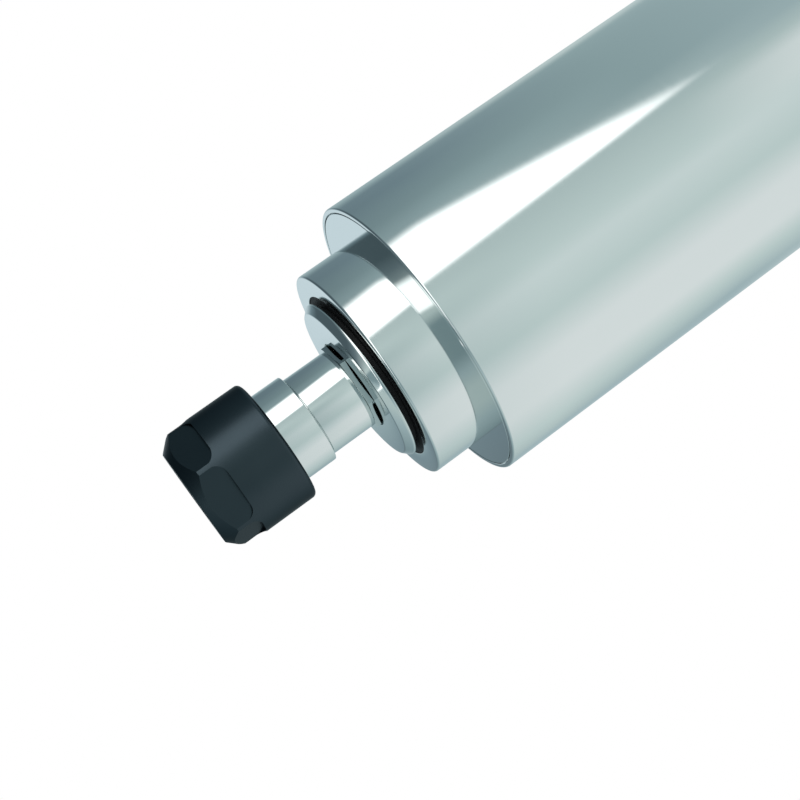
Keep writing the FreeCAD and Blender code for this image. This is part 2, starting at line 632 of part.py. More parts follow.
def rear_cap():
    """Return the cap: a disc on the jacket's end with a wall that stands on the rear housing."""
    body = revolved([(0, REAR_FACE_Z), (0, JACKET_END_Z), (CAP_INNER_RADIUS, JACKET_END_Z),
                     (CAP_INNER_RADIUS, REAR_FLANGE_END_Z), (LINER_RADIUS, REAR_FLANGE_END_Z),
                     (LINER_RADIUS, JACKET_END_Z), (BODY_RADIUS, JACKET_END_Z),
                     (BODY_RADIUS, REAR_FACE_Z, CAP_EDGE_RADIUS)])
    top = REAR_FACE_Z + OVERCUT
    tools = [o_ring_groove(CAP_SEAL_Z)]
    for angle in (INLET_ANGLE, OUTLET_ANGLE):
        x, y = at(PORT_CIRCLE, angle)
        tap_end = REAR_FACE_Z - NIPPLE_THREAD_LENGTH - TAP_SPARE
        tools.append(rod(NIPPLE_THREAD_RADIUS + SEAT_GAP, tap_end, top, x, y))
        tools.append(rod(PORT_RADIUS, REAR_FLANGE_END_Z - OVERCUT, REAR_FACE_Z, x, y))
    shank = rod(SCREW_RADIUS + SCREW_GAP, REAR_FLANGE_END_Z - OVERCUT, REAR_FACE_Z, CAP_SCREW_CIRCLE)
    head = rod(SCREW_HEAD_RADIUS + SCREW_GAP, REAR_FACE_Z - SCREW_HEAD_HEIGHT, top, CAP_SCREW_CIRCLE)
    tools += around(shank, CAP_SCREWS, CAP_SCREW_START) + around(head, CAP_SCREWS, CAP_SCREW_START)
    tools.append(rod(CONNECTOR_NECK_RADIUS + SEAT_GAP, JACKET_END_Z - OVERCUT, top, 0, CONNECTOR_Y))
    for tool in tools:
        body = body.cut(tool)
    return body


def rear_cap_o_ring():
    return o_ring(CAP_SEAL_Z)


def rear_cap_screws():
    seat = REAR_FACE_Z - SCREW_HEAD_HEIGHT
    end = REAR_FLANGE_END_Z - SCREW_BITE + TAP_SPARE
    return group(around(socket_screw(SCREW_RADIUS, SCREW_HEAD_RADIUS, SCREW_HEAD_HEIGHT, seat, end,
                                     CAP_SCREW_CIRCLE), CAP_SCREWS, CAP_SCREW_START))


def connector_shell():
    top = REAR_FACE_Z + CONNECTOR_HEIGHT
    bore = CONNECTOR_RADIUS - CONNECTOR_WALL
    low = JACKET_END_Z - CONNECTOR_TAIL
    flange_z = REAR_FACE_Z + CONNECTOR_FLANGE
    shell = revolved([(bore, top), (CONNECTOR_RADIUS, top), (CONNECTOR_RADIUS, flange_z),
                      (CONNECTOR_FLANGE_RADIUS, flange_z), (CONNECTOR_FLANGE_RADIUS, REAR_FACE_Z),
                      (CONNECTOR_NECK_RADIUS, REAR_FACE_Z), (CONNECTOR_NECK_RADIUS, low), (bore, low)])
    shell.translate(V(0, CONNECTOR_Y, 0))
    return shell


def pin_spots():
    return [at(PIN_CIRCLE, (i + 0.5) * FULL_TURN / PIN_COUNT) for i in range(PIN_COUNT)]


def connector_insert():
    face = REAR_FACE_Z + CONNECTOR_HEIGHT - INSERT_DEPTH
    low = JACKET_END_Z - CONNECTOR_TAIL
    body = rod(CONNECTOR_RADIUS - CONNECTOR_WALL - SEAT_GAP, low, face, 0, CONNECTOR_Y)
    pin_hole = rod(PIN_RADIUS + SEAT_GAP, low - OVERCUT, face + OVERCUT, 0, CONNECTOR_Y)
    tools = [pin_hole.translated(V(x, y, 0)) for x, y in pin_spots()]
    return body.cut(tools)


def connector_pins():
    face = REAR_FACE_Z + CONNECTOR_HEIGHT - INSERT_DEPTH
    low = JACKET_END_Z - CONNECTOR_TAIL - PIN_TAIL
    solids = []
    for x, y in pin_spots():
        pin = rod(PIN_RADIUS, low, face + PIN_HEIGHT, x, y + CONNECTOR_Y)
        solids.append(chamfered_top(pin, PIN_CHAMFER))
    return group(solids)


def connector_nut():
    low = JACKET_END_Z - CONNECTOR_NUT_THICKNESS
    return prism(CONNECTOR_NUT_ACROSS, low, JACKET_END_Z, 0, CONNECTOR_Y, HALF_SIDE_ANGLE).cut(
        rod(CONNECTOR_NECK_RADIUS + SEAT_GAP, low - OVERCUT, JACKET_END_Z + OVERCUT, 0, CONNECTOR_Y))


def nipple(angle):
    """Return a hose nipple: thread, hexagon and a plain stem, with a bore right through."""
    x, y = at(PORT_CIRCLE, angle)
    seat = REAR_FACE_Z + WASHER_THICKNESS
    top = seat + NIPPLE_HEX_HEIGHT + NIPPLE_STEM_LENGTH
    stem = chamfered_top(rod(NIPPLE_STEM_RADIUS, seat, top, x, y), NIPPLE_TIP_CHAMFER)
    hexagon = prism(NIPPLE_HEX_ACROSS, seat, seat + NIPPLE_HEX_HEIGHT, x, y, angle + HALF_SIDE_ANGLE)
    thread_end = REAR_FACE_Z - NIPPLE_THREAD_LENGTH
    thread = rod(NIPPLE_THREAD_RADIUS, thread_end, seat + NIPPLE_HEX_HEIGHT, x, y)
    bore = rod(NIPPLE_BORE_RADIUS, thread_end - OVERCUT, top + OVERCUT, x, y)
    return hexagon.fuse(thread).fuse(stem).cut(bore)


def nipple_washers():
    solids = []
    for angle in (INLET_ANGLE, OUTLET_ANGLE):
        x, y = at(PORT_CIRCLE, angle)
        top = REAR_FACE_Z + WASHER_THICKNESS
        washer = rod(WASHER_RADIUS, REAR_FACE_Z, top, x, y)
        hole = rod(NIPPLE_THREAD_RADIUS + SEAT_GAP, REAR_FACE_Z - OVERCUT, top + OVERCUT, x, y)
        solids.append(washer.cut(hole))
    return group(solids)


# Spindle


def shaft():
    """Return the shaft with its collet taper, threaded nose, polished neck and bearing seats."""
    groove_z = NECK_END_Z + NECK_GROOVE_WIDTH
    groove = NECK_RADIUS - NECK_GROOVE_DEPTH
    seat_start = SLINGER_FACE_Z + HEX_DEPTH
    taper_end = COLLET_TAIL_Z + COLLET_TAIL_ROOM
    taper_end_radius = TAPER_MOUTH_RADIUS - (taper_end - NOSE_Z) * SLOPE
    shank_bore = taper_end_radius - SHANK_BORE_STEP
    bore_end = NOSE_Z + SHANK_BORE_DEPTH
    core_start = CORE_START - WINDING_OVERHANG
    core_end = CORE_END_Z + WINDING_OVERHANG
    corner_radius = HEX_CORNER_RADIUS
    body = revolved([(0, bore_end), (shank_bore, bore_end), (shank_bore, taper_end),
                     (taper_end_radius, taper_end), (TAPER_MOUTH_RADIUS, NOSE_Z),
                     (THREAD_RADIUS - NOSE_CHAMFER, NOSE_Z), (THREAD_RADIUS, NOSE_Z + NOSE_CHAMFER),
                     (THREAD_RADIUS, NECK_END_Z), (groove, NECK_END_Z), (groove, groove_z),
                     (NECK_RADIUS, groove_z), (NECK_RADIUS, HEX_END_Z), (corner_radius, HEX_END_Z),
                     (corner_radius, seat_start), (FRONT_BORE_RADIUS, seat_start),
                     (FRONT_BORE_RADIUS, FRONT_STACK_END_Z), (SHAFT_SHOULDER_RADIUS, FRONT_STACK_END_Z),
                     (SHAFT_SHOULDER_RADIUS, FRONT_STACK_END_Z + SHAFT_SHOULDER_LENGTH),
                     (ROTOR_SEAT_RADIUS, FRONT_STACK_END_Z + SHAFT_SHOULDER_LENGTH),
                     (ROTOR_SEAT_RADIUS, core_end), (REAR_SHOULDER_RADIUS, core_end),
                     (REAR_SHOULDER_RADIUS, REAR_SEAT_Z), (REAR_BORE_RADIUS, REAR_SEAT_Z),
                     (REAR_BORE_RADIUS, SHAFT_END_Z, SHAFT_END_EDGE_RADIUS), (0, SHAFT_END_Z)])
    flats = ring(HEX_ACROSS / 2 - OVERCUT, corner_radius + OVERCUT, HEX_END_Z, seat_start).cut(
        prism(HEX_ACROSS, HEX_END_Z - OVERCUT, seat_start + OVERCUT, 0, 0, HALF_SIDE_ANGLE))
    return body.cut(flats)


def slinger_nut():
    """Return the front locknut, whose disc throws dust and coolant off in front of the collar."""
    bore = FRONT_BORE_RADIUS + SEAT_GAP
    nose = bore + SLINGER_NOSE_SHARE * (SLINGER_HUB_RADIUS - bore)
    edge = SLINGER_EDGE_RADIUS
    return revolved([(bore, SLINGER_FACE_Z), (SLINGER_RADIUS - SLINGER_CHAMFER, SLINGER_FACE_Z),
                     (SLINGER_RADIUS, SLINGER_FACE_Z + SLINGER_CHAMFER),
                     (SLINGER_RADIUS, SLINGER_BACK_Z, edge), (SLINGER_HUB_RADIUS, SLINGER_BACK_Z),
                     (SLINGER_HUB_RADIUS, FRONT_BEARING_Z - SEAL_GAP),
                     (nose, FRONT_BEARING_Z), (bore, FRONT_BEARING_Z)])


def v_ring():
    """Return the rubber seal behind the slinger, whose lip runs on the floor of the collar's recess."""
    bore = SLINGER_HUB_RADIUS + SEAT_GAP
    lip_z = RECESS_Z - SEAL_GAP
    root_z = SLINGER_BACK_Z + V_RING_BODY_SHARE * (lip_z - SLINGER_BACK_Z)
    tail_z = root_z + V_RING_LIP_THICKNESS
    return revolved([(bore, SLINGER_BACK_Z), (V_RING_RADIUS, SLINGER_BACK_Z, V_RING_EDGE_RADIUS),
                     (V_RING_RADIUS, root_z), (V_RING_LIP_RADIUS, lip_z - V_RING_LIP_THICKNESS),
                     (V_RING_LIP_RADIUS, lip_z), (V_RING_RADIUS - V_RING_UNDERCUT, tail_z), (bore, tail_z)])


def rotor_bar(gap):
    centre = ROTOR_RADIUS - BAR_RADIUS - BAR_SKIN
    return rod(BAR_RADIUS - gap, CORE_START - OVERCUT, CORE_END_Z + OVERCUT, centre)


def rotor_core():
    core = ring(ROTOR_SEAT_RADIUS + SEAT_GAP, ROTOR_RADIUS, CORE_START, CORE_END_Z)
    return core.cut(around(rotor_bar(0), ROTOR_BARS))


def rotor_cage():
    """Return the bars in the rotor core and the end rings that join them."""
    inner = ROTOR_SEAT_RADIUS + CAGE_END_SETBACK
    front = ring(inner, ROTOR_RADIUS, CORE_START - CAGE_END_LENGTH, CORE_START)
    rear = ring(inner, ROTOR_RADIUS, CORE_END_Z, CORE_END_Z + CAGE_END_LENGTH)
    return front.multiFuse([rear] + around(rotor_bar(SEAT_GAP), ROTOR_BARS))


def balance_rings():
    """Return the two rings beside the rotor, the front one with its balancing holes."""
    inner = ROTOR_SEAT_RADIUS + SEAT_GAP
    front_low = CORE_START - CAGE_END_LENGTH - BALANCE_RING_LENGTH
    rear_low = CORE_END_Z + CAGE_END_LENGTH
    front = ring(inner, BALANCE_RING_RADIUS, front_low, front_low + BALANCE_RING_LENGTH)
    rear = ring(inner, BALANCE_RING_RADIUS, rear_low, rear_low + BALANCE_RING_LENGTH)
    circle = (inner + BALANCE_RING_RADIUS) / 2
    hole = rod(BALANCE_DRILLING_RADIUS, front_low - OVERCUT, front_low + BALANCE_RING_LENGTH / 2, circle)
    return group([front.cut([turned(hole, angle) for angle in BALANCE_DRILLING_ANGLES]), rear])


def rear_locknut():
    high = REAR_STACK_END_Z + REAR_NUT_LENGTH
    nut = ring(REAR_BORE_RADIUS + SEAT_GAP, REAR_NUT_RADIUS, REAR_STACK_END_Z, high)
    slot = Part.makeBox(REAR_NUT_RADIUS, REAR_NUT_SLOT, REAR_NUT_SLOT,
                        V(REAR_NUT_RADIUS - REAR_NUT_SLOT_DEPTH, -REAR_NUT_SLOT / 2, high - REAR_NUT_SLOT))
    return nut.cut(around(slot, 4))


# Collet and clamping nut


def collet():
    """Return the collet: a short steep head, an extraction groove and a long slim taper, all slit."""
    head_end = COLLET_FACE_Z + (COLLET_HEAD_RADIUS - COLLET_FACE_RADIUS) / HEAD_SLOPE
    groove_start = head_end + COLLET_HEAD_LAND
    groove_end = groove_start + COLLET_GROOVE_WIDTH
    mouth = TAPER_MOUTH_RADIUS - TAPER_GAP
    tail = mouth - (COLLET_TAIL_Z - NOSE_Z) * SLOPE
    body = revolved([(COLLET_BORE_RADIUS, COLLET_FACE_Z), (COLLET_FACE_RADIUS, COLLET_FACE_Z),
                     (COLLET_HEAD_RADIUS, head_end), (COLLET_HEAD_RADIUS, groove_start),
                     (COLLET_GROOVE_RADIUS, groove_start), (COLLET_GROOVE_RADIUS, groove_end),
                     (mouth, groove_end), (mouth, NOSE_Z), (tail, COLLET_TAIL_Z),
                     (COLLET_BORE_RADIUS, COLLET_TAIL_Z)])
    front_slit = Part.makeBox(2 * mouth, COLLET_SLIT_WIDTH, COLLET_LENGTH - COLLET_SLIT_STOP + OVERCUT,
                              V(0, -COLLET_SLIT_WIDTH / 2, COLLET_FACE_Z - OVERCUT))
    rear_slit = Part.makeBox(2 * mouth, COLLET_SLIT_WIDTH, COLLET_LENGTH - COLLET_HEAD_STOP + OVERCUT,
                             V(0, -COLLET_SLIT_WIDTH / 2, COLLET_FACE_Z + COLLET_HEAD_STOP))
    rear_turn = COLLET_SLIT_TURN + FULL_TURN / COLLET_SLITS / 2
    slits = around(front_slit, COLLET_SLITS, COLLET_SLIT_TURN)
    slits += around(rear_slit, COLLET_SLITS, rear_turn)
    for slit in slits:
        body = body.cut(slit)
    return body


def nut_flat(low, high):
    """Return the metal that one flat takes off, with a rounded run-out at its rear end."""
    half = math.sqrt(NUT_RADIUS ** 2 - (NUT_ACROSS / 2) ** 2) + NUT_FLAT_MARGIN
    face = outline([(-half, low), (-half, high, NUT_FLAT_CORNER), (half, high, NUT_FLAT_CORNER), (half, low)])
    slab = face.extrude(V(0, NUT_RADIUS, 0))
    slab.translate(V(0, NUT_ACROSS / 2, 0))
    return turned(slab, -FULL_TURN / 4)


def clamping_nut():
    """Return the nut: thread, eccentric extraction rim, seat for the collet's head, and six flats."""
    bore = THREAD_RADIUS + RUNNING_GAP
    nose_room = NOSE_Z - NUT_NOSE_ROOM
    chamfer_end = NUT_FRONT_Z + NUT_LIP_LENGTH
    chamfer_start = chamfer_end + NUT_CHAMFER_AXIAL
    chamfer_radius = NUT_RADIUS - NUT_CHAMFER_RADIAL
    lip_radius = chamfer_radius - NUT_LIP_STEP
    head_end = COLLET_FACE_Z + (COLLET_HEAD_RADIUS - COLLET_FACE_RADIUS) / HEAD_SLOPE
    groove_middle = head_end + COLLET_HEAD_LAND + COLLET_GROOVE_WIDTH / 2
    rim_low = groove_middle - NUT_RIM_THICKNESS / 2
    rim_high = groove_middle + NUT_RIM_THICKNESS / 2
    seat_shift = RUNNING_GAP / math.cos(math.radians(COLLET_HEAD_ANGLE))
    seat_end_radius = COLLET_HEAD_RADIUS + NUT_HEAD_GAP
    seat_end = COLLET_FACE_Z + (seat_end_radius - COLLET_FACE_RADIUS - seat_shift) / HEAD_SLOPE
    opening = COLLET_FACE_RADIUS + seat_shift + (chamfer_end - COLLET_FACE_Z) * HEAD_SLOPE
    rim_radius = COLLET_GROOVE_RADIUS + NUT_RIM_GAP
    body = revolved([(bore, NUT_BACK_Z), (NUT_RADIUS, NUT_BACK_Z, NUT_EDGE_RADIUS),
                     (NUT_RADIUS, chamfer_start), (chamfer_radius, chamfer_end),
                     (lip_radius, chamfer_end), (lip_radius, NUT_FRONT_Z), (opening, NUT_FRONT_Z),
                     (opening, chamfer_end), (seat_end_radius, seat_end),
                     (seat_end_radius, rim_low), (rim_radius, rim_low), (rim_radius, rim_high),
                     (NUT_CAVITY_RADIUS, rim_high), (NUT_CAVITY_RADIUS, nose_room), (bore, nose_room)])
    rim_cut = rod(rim_radius + NUT_RIM_CUT_GAP + NUT_RIM_OFFSET, rim_low - NUT_RIM_CUT_GAP,
                  rim_high + NUT_RIM_CUT_GAP, NUT_RIM_OFFSET)
    flat = nut_flat(NUT_FRONT_Z - OVERCUT, NUT_FRONT_Z + NUT_FLAT_LENGTH)
    return body.cut([rim_cut] + around(flat, HEX_SIDES, NUT_TURN + HALF_SIDE_ANGLE))


def front_outer_rings():
    return outer_rings(*FRONT_PAIR)


def front_outer_spacer():
    return outer_spacer(*FRONT_PAIR)


def front_inner_rings():
    return inner_rings(*FRONT_PAIR)


def front_inner_spacer():
    return inner_spacer(*FRONT_PAIR)


def front_balls():
    return balls(*FRONT_PAIR, FRONT_BALLS)


def front_cages():
    return cages(*FRONT_PAIR, FRONT_BALLS)


def rear_outer_rings():
    return outer_rings(*REAR_PAIR)


def rear_outer_spacer():
    return outer_spacer(*REAR_PAIR)


def rear_inner_rings():
    return inner_rings(*REAR_PAIR)


def rear_inner_spacer():
    return inner_spacer(*REAR_PAIR)


def rear_balls():
    return balls(*REAR_PAIR, REAR_BALLS)


def rear_cages():
    return cages(*REAR_PAIR, REAR_BALLS)


def water_inlet():
    return nipple(INLET_ANGLE)


def water_outlet():
    return nipple(OUTLET_ANGLE)


HOUSING_PIECES = [outer_jacket, front_housing, cooling_cylinder, liner_o_rings, front_outer_rings,
                  front_outer_spacer, front_retainer, front_retainer_screws, stator_core, stator_windings,
                  rear_housing, rear_outer_rings, rear_outer_spacer, preload_spring, rear_cover,
                  rear_cover_screws, rear_cap, rear_cap_o_ring, rear_cap_screws, connector_shell,
                  connector_insert, connector_pins, connector_nut, water_inlet, water_outlet, nipple_washers]
SPINDLE_PIECES = [shaft, slinger_nut, v_ring, front_inner_rings, front_inner_spacer, rotor_core, rotor_cage,
                  balance_rings, rear_inner_rings, rear_inner_spacer, rear_locknut]
ROLLING_PIECES = [front_balls, front_cages, rear_balls, rear_cages]
CLAMPING_PIECES = [collet, clamping_nut]


def main():
    os.makedirs("parts", exist_ok=True)
    for piece in HOUSING_PIECES + SPINDLE_PIECES + ROLLING_PIECES + CLAMPING_PIECES:
        shape = piece()
        shape.exportStep(os.path.join("parts", piece.__name__ + ".step"))
        print(piece.__name__, len(shape.Solids), round(shape.Volume), shape.isValid())


main()
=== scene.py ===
"""Motor spindle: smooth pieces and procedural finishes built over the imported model."""
import json
import math

import bmesh
import bpy
from bpy.props import FloatProperty, FloatVectorProperty, IntProperty, PointerProperty
from mathutils import Matrix, Vector

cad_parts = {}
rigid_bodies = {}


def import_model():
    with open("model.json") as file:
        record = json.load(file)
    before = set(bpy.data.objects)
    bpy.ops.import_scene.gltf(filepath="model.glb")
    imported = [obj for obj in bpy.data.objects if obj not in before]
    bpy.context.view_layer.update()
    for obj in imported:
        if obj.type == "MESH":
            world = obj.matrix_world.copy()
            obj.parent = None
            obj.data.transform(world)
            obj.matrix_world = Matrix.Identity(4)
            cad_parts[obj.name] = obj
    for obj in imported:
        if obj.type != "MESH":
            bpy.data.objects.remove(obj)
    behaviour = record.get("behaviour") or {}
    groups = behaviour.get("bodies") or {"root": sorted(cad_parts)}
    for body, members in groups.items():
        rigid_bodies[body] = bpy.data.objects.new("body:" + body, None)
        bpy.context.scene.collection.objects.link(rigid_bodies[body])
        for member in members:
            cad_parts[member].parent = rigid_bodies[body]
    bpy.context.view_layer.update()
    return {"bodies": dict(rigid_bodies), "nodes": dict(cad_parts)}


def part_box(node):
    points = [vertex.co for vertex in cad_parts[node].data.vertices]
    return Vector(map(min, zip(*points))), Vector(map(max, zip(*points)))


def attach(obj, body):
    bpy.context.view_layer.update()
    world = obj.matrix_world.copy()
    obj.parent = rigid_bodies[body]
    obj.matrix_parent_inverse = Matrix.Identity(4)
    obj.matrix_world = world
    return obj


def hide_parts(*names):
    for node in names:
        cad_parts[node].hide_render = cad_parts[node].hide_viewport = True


bl_info = {
    "name": "Motor Spindle",
    "version": (1, 0, 0),
    "blender": (4, 5, 0),
    "location": "View3D > Sidebar > Spindle",
    "description": "Builds the pieces, finishes and studio of a motor spindle",
    "category": "Object",
}

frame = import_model()

# Lengths are in metres, along the spindle axis Z. The nose points down, and the rear cap is on top.
MM = 0.001
ROUND_STEPS = 192      # facets round a large turned piece
MIDDLE_STEPS = 96      # facets round one of middle size
SMALL_STEPS = 48       # facets round a small one
ARC_STEPS = 8          # facets in a rounded corner
ARCH_STEPS = 16        # facets in a rounded corner of a nut's flat
SHARP_ANGLE = 21.0     # an edge that turns by more than this many degrees stays crisp
MERGE_DISTANCE = 1e-7
OVERCUT = 1.0 * MM     # how far a cutting shape runs past the face that it opens
OVERLAP = 0.1 * MM     # how far one part of a piece runs into another
FIT_GAP = 0.02 * MM    # room between two fitted pieces
HEX_SIDES = 6
HALF_SIDE_ANGLE = 30.0  # from the middle of a hexagon's side to its corner
FIRST, SECOND = 6, 7   # the two colours of a Mix node
BUILT_FINISHES = set()  # names of the materials that this run has built


def low(node):
    """Return the lowest corner of a CAD node's box."""
    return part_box(node)[0]


def high(node):
    """Return the highest corner of a CAD node's box."""
    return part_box(node)[1]


def linear(colour):
    """Turn an sRGB hex colour into linear red, green, blue and alpha."""
    shares = [int(colour[i:i + 2], 16) / 255 for i in (1, 3, 5)]
    return [s / 12.92 if s <= 0.04045 else ((s + 0.055) / 1.055) ** 2.4 for s in shares] + [1.0]


def length(name, description, default):
    """Declare a size in metres."""
    return FloatProperty(name=name, description=description, default=default, unit="LENGTH", precision=5)


def colour(name, description, default):
    """Declare a colour, its default an sRGB hex value."""
    return FloatVectorProperty(name=name, description=description, default=linear(default),
                               subtype="COLOR", size=4, min=0.0, max=1.0)


class SpindleBodySizes(bpy.types.PropertyGroup):
    rim_radius: length("Rim radius", "Rounding of the jacket's front rim", 0.5 * MM)
    jacket_wall: length("Jacket wall", "Thickness of the outer jacket", 2.5 * MM)
    front_wall: length("Front wall", "Thickness of the jacket round the flange", 1.3 * MM)
    groove_width: length("Groove width", "Width of the groove at the flange's joint", 0.2 * MM)
    groove_depth: length("Groove depth", "Depth of that groove", 1.2 * MM)
    joint_chamfer: length("Joint chamfer", "Broken edge on each side of a joint line", 0.1 * MM)
    joint_gap: length("Joint gap", "Width of a joint line", 0.05 * MM)
    collar_radius: length("Collar radius", "Radius of the collar in front of the body", 30.1 * MM)
    collar_edge: length("Collar edge", "Rounding of the collar's front edge", 0.6 * MM)
    collar_rim: length("Collar rim", "Width of the rim round the recess for the slinger", 5.9 * MM)
    collar_recess: length("Collar recess", "Depth of that recess", 2.9 * MM)
    flange_thickness: length("Flange thickness", "Thickness of the front housing's flange", 12.2 * MM)
    spigot_radius: length("Spigot radius", "Radius of the housing inside the cooling cylinder", 30.5 * MM)
    bearing_radius: length("Bearing radius", "Radius of the front bearing seat", 23.52 * MM)
    bearing_setback: length("Bearing setback", "Collar face to the front bearing seat", 8.3 * MM)
    seal_bore: length("Seal bore", "Radius of the bore round the slinger's hub", 16.15 * MM)
    cap_edge: length("Cap edge", "Rounding of the rear cap's outer edge", 1.0 * MM)


class SpindleShaftSizes(bpy.types.PropertyGroup):
    slinger_thickness: length("Slinger thickness", "Thickness of the disc in front of the collar", 2.4 * MM)
    slinger_chamfer: length("Slinger chamfer", "Chamfer round the disc's face", 1.7 * MM)
    slinger_edge: length("Slinger edge", "Rounding of the disc's rear edge", 0.3 * MM)
    slinger_hub: length("Slinger hub", "Radius of the disc's hub", 16.0 * MM)
    seal_gap: length("Seal gap", "Room between the seal's lip and the collar", 0.05 * MM)
    seal_waist: length("Seal waist", "How far the seal's body stays inside its rim", 2.0 * MM)
    seal_setback: length("Seal setback", "Depth of the seal's lip behind the collar's face", 0.3 * MM)
    seal_lip: length("Seal lip", "Thickness of the seal's lip", 0.7 * MM)
    seat_radius: length("Seat radius", "Radius of the shaft in the front bearings", 12.5 * MM)
    flats_across: length("Flats across", "Width across the spanner flats", 20.99 * MM)
    flats_length: length("Flats length", "Part of the flats that stands out of the slinger", 1.6 * MM)
    flats_depth: length("Flats depth", "Part of the flats under the slinger's face", 1.3 * MM)
    neck_radius: length("Neck radius", "Radius of the polished neck", 11.2 * MM)
    neck_length: length("Neck length", "Length of the polished neck", 13.1 * MM)
    neck_blend: length("Neck blend", "Rounding where the neck meets the spanner flats", 0.3 * MM)
    neck_edge: length("Neck edge", "Rounding where the neck meets the groove", 0.15 * MM)
    groove_width: length("Groove width", "Width of the groove behind the land", 0.35 * MM)
    groove_depth: length("Groove depth", "Depth of that groove", 0.9 * MM)
    land_radius: length("Land radius", "Radius of the ground land behind the nut", 12.5 * MM)
    land_edge: length("Land edge", "Broken edge of the land", 0.25 * MM)
    nose_edge: length("Nose edge", "Rounding of the shaft's nose", 0.6 * MM)
    taper_mouth: length("Taper mouth", "Radius of the collet taper at the nose", 10.5 * MM)
    taper_end: length("Taper end", "Radius at the inner end of the taper", 7.03 * MM)
    taper_depth: length("Taper depth", "Depth of the collet taper", 24.7 * MM)
    shank_bore: length("Shank bore", "Radius of the bore behind the taper", 6.63 * MM)
    shank_depth: length("Shank depth", "Depth of the bore from the nose", 38.0 * MM)
    shoulder_radius: length("Shoulder radius", "Radius of the shoulder behind the front bearings", 15.0 * MM)
    shoulder_length: length("Shoulder length", "Length of the shoulder behind the front housing", 9.0 * MM)
    core_seat: length("Core seat", "Radius of the shaft in the rotor core", 9.8 * MM)
    rear_seat: length("Rear seat", "Radius of the shaft in the rear bearings", 7.5 * MM)
    tail_edge: length("Tail edge", "Rounding of the shaft's rear end", 0.8 * MM)


class SpindleClampSizes(bpy.types.PropertyGroup):
    nut_edge: length("Nut edge", "Rounding of the nut's rear edge", 1.3 * MM)
    nut_across: length("Nut across", "Width across the nut's flats", 30.0 * MM)
    flat_length: length("Flat length", "Length of a flat from the nut's front face", 9.8 * MM)
    flat_corner: length("Flat corner", "Rounding at the rear end of a flat", 3.2 * MM)
    flat_margin: length("Flat margin", "How far a flat's cut runs past the round of the nut", 0.1 * MM)
    chamfer_radial: length("Chamfer width", "Front chamfer of the nut across the axis", 3.8 * MM)
    chamfer_axial: length("Chamfer depth", "Front chamfer of the nut along the axis", 3.9 * MM)
    lip_length: length("Lip length", "Length of the round opening in the nut's face", 1.0 * MM)
    lip_edge: length("Lip edge", "Rounding of the edges of the nut's face", 0.2 * MM)
    thread_radius: length("Thread radius", "Radius of the bore that takes the thread", 12.55 * MM)
    opening_radius: length("Opening radius", "Radius of the nut's front opening", 8.17 * MM)
    seat_radius: length("Head seat radius", "Radius of the seat for the collet's head", 10.02 * MM)
    seat_length: length("Head seat length", "Length of that seat along the axis", 3.3 * MM)
    cavity_radius: length("Cavity radius", "Radius of the room round the collet", 11.3 * MM)
    cavity_length: length("Cavity length", "Lip to the shaft's nose, inside the nut", 8.5 * MM)
    ridge_turn: FloatProperty(name="Ridge turn", description="Direction of the first ridge between two flats",
                              default=math.radians(15.5), subtype="ANGLE")
    collet_bore: length("Collet bore", "Radius of the collet's bore", 3.0 * MM)
    collet_face: length("Collet face", "Radius of the collet's front face", 8.0 * MM)
    collet_edge: length("Collet edge", "Rounding of the edges of that face", 0.3 * MM)
    collet_head: length("Collet head", "Largest radius of the collet", 9.9 * MM)
    collet_head_length: length("Collet head length", "Face to the largest radius", 3.29 * MM)
    collet_head_land: length("Collet head land", "Length at the largest radius", 0.6 * MM)
    collet_groove: length("Collet groove", "Radius of the extraction groove", 8.7 * MM)
    collet_groove_width: length("Collet groove width", "Width of the extraction groove", 2.5 * MM)
    collet_mouth: length("Collet mouth", "Radius of the collet where it enters the shaft", 10.47 * MM)
    collet_tail: length("Collet tail", "Radius of the collet's rear end", 7.21 * MM)
    slit_width: length("Slit width", "Width of a slit in the collet", 0.4 * MM)
    front_slit_stop: length("Front slit stop", "Unslit end of the slits from the front", 5.0 * MM)
    rear_slit_stop: length("Rear slit stop", "Unslit end of the slits from the rear", 8.0 * MM)
    slit_turn: FloatProperty(name="Slit turn", description="Direction of the first slit",
                             default=math.radians(8.0), subtype="ANGLE")
    slits: IntProperty(name="Slits", description="Number of slits from each end", default=6, min=3)


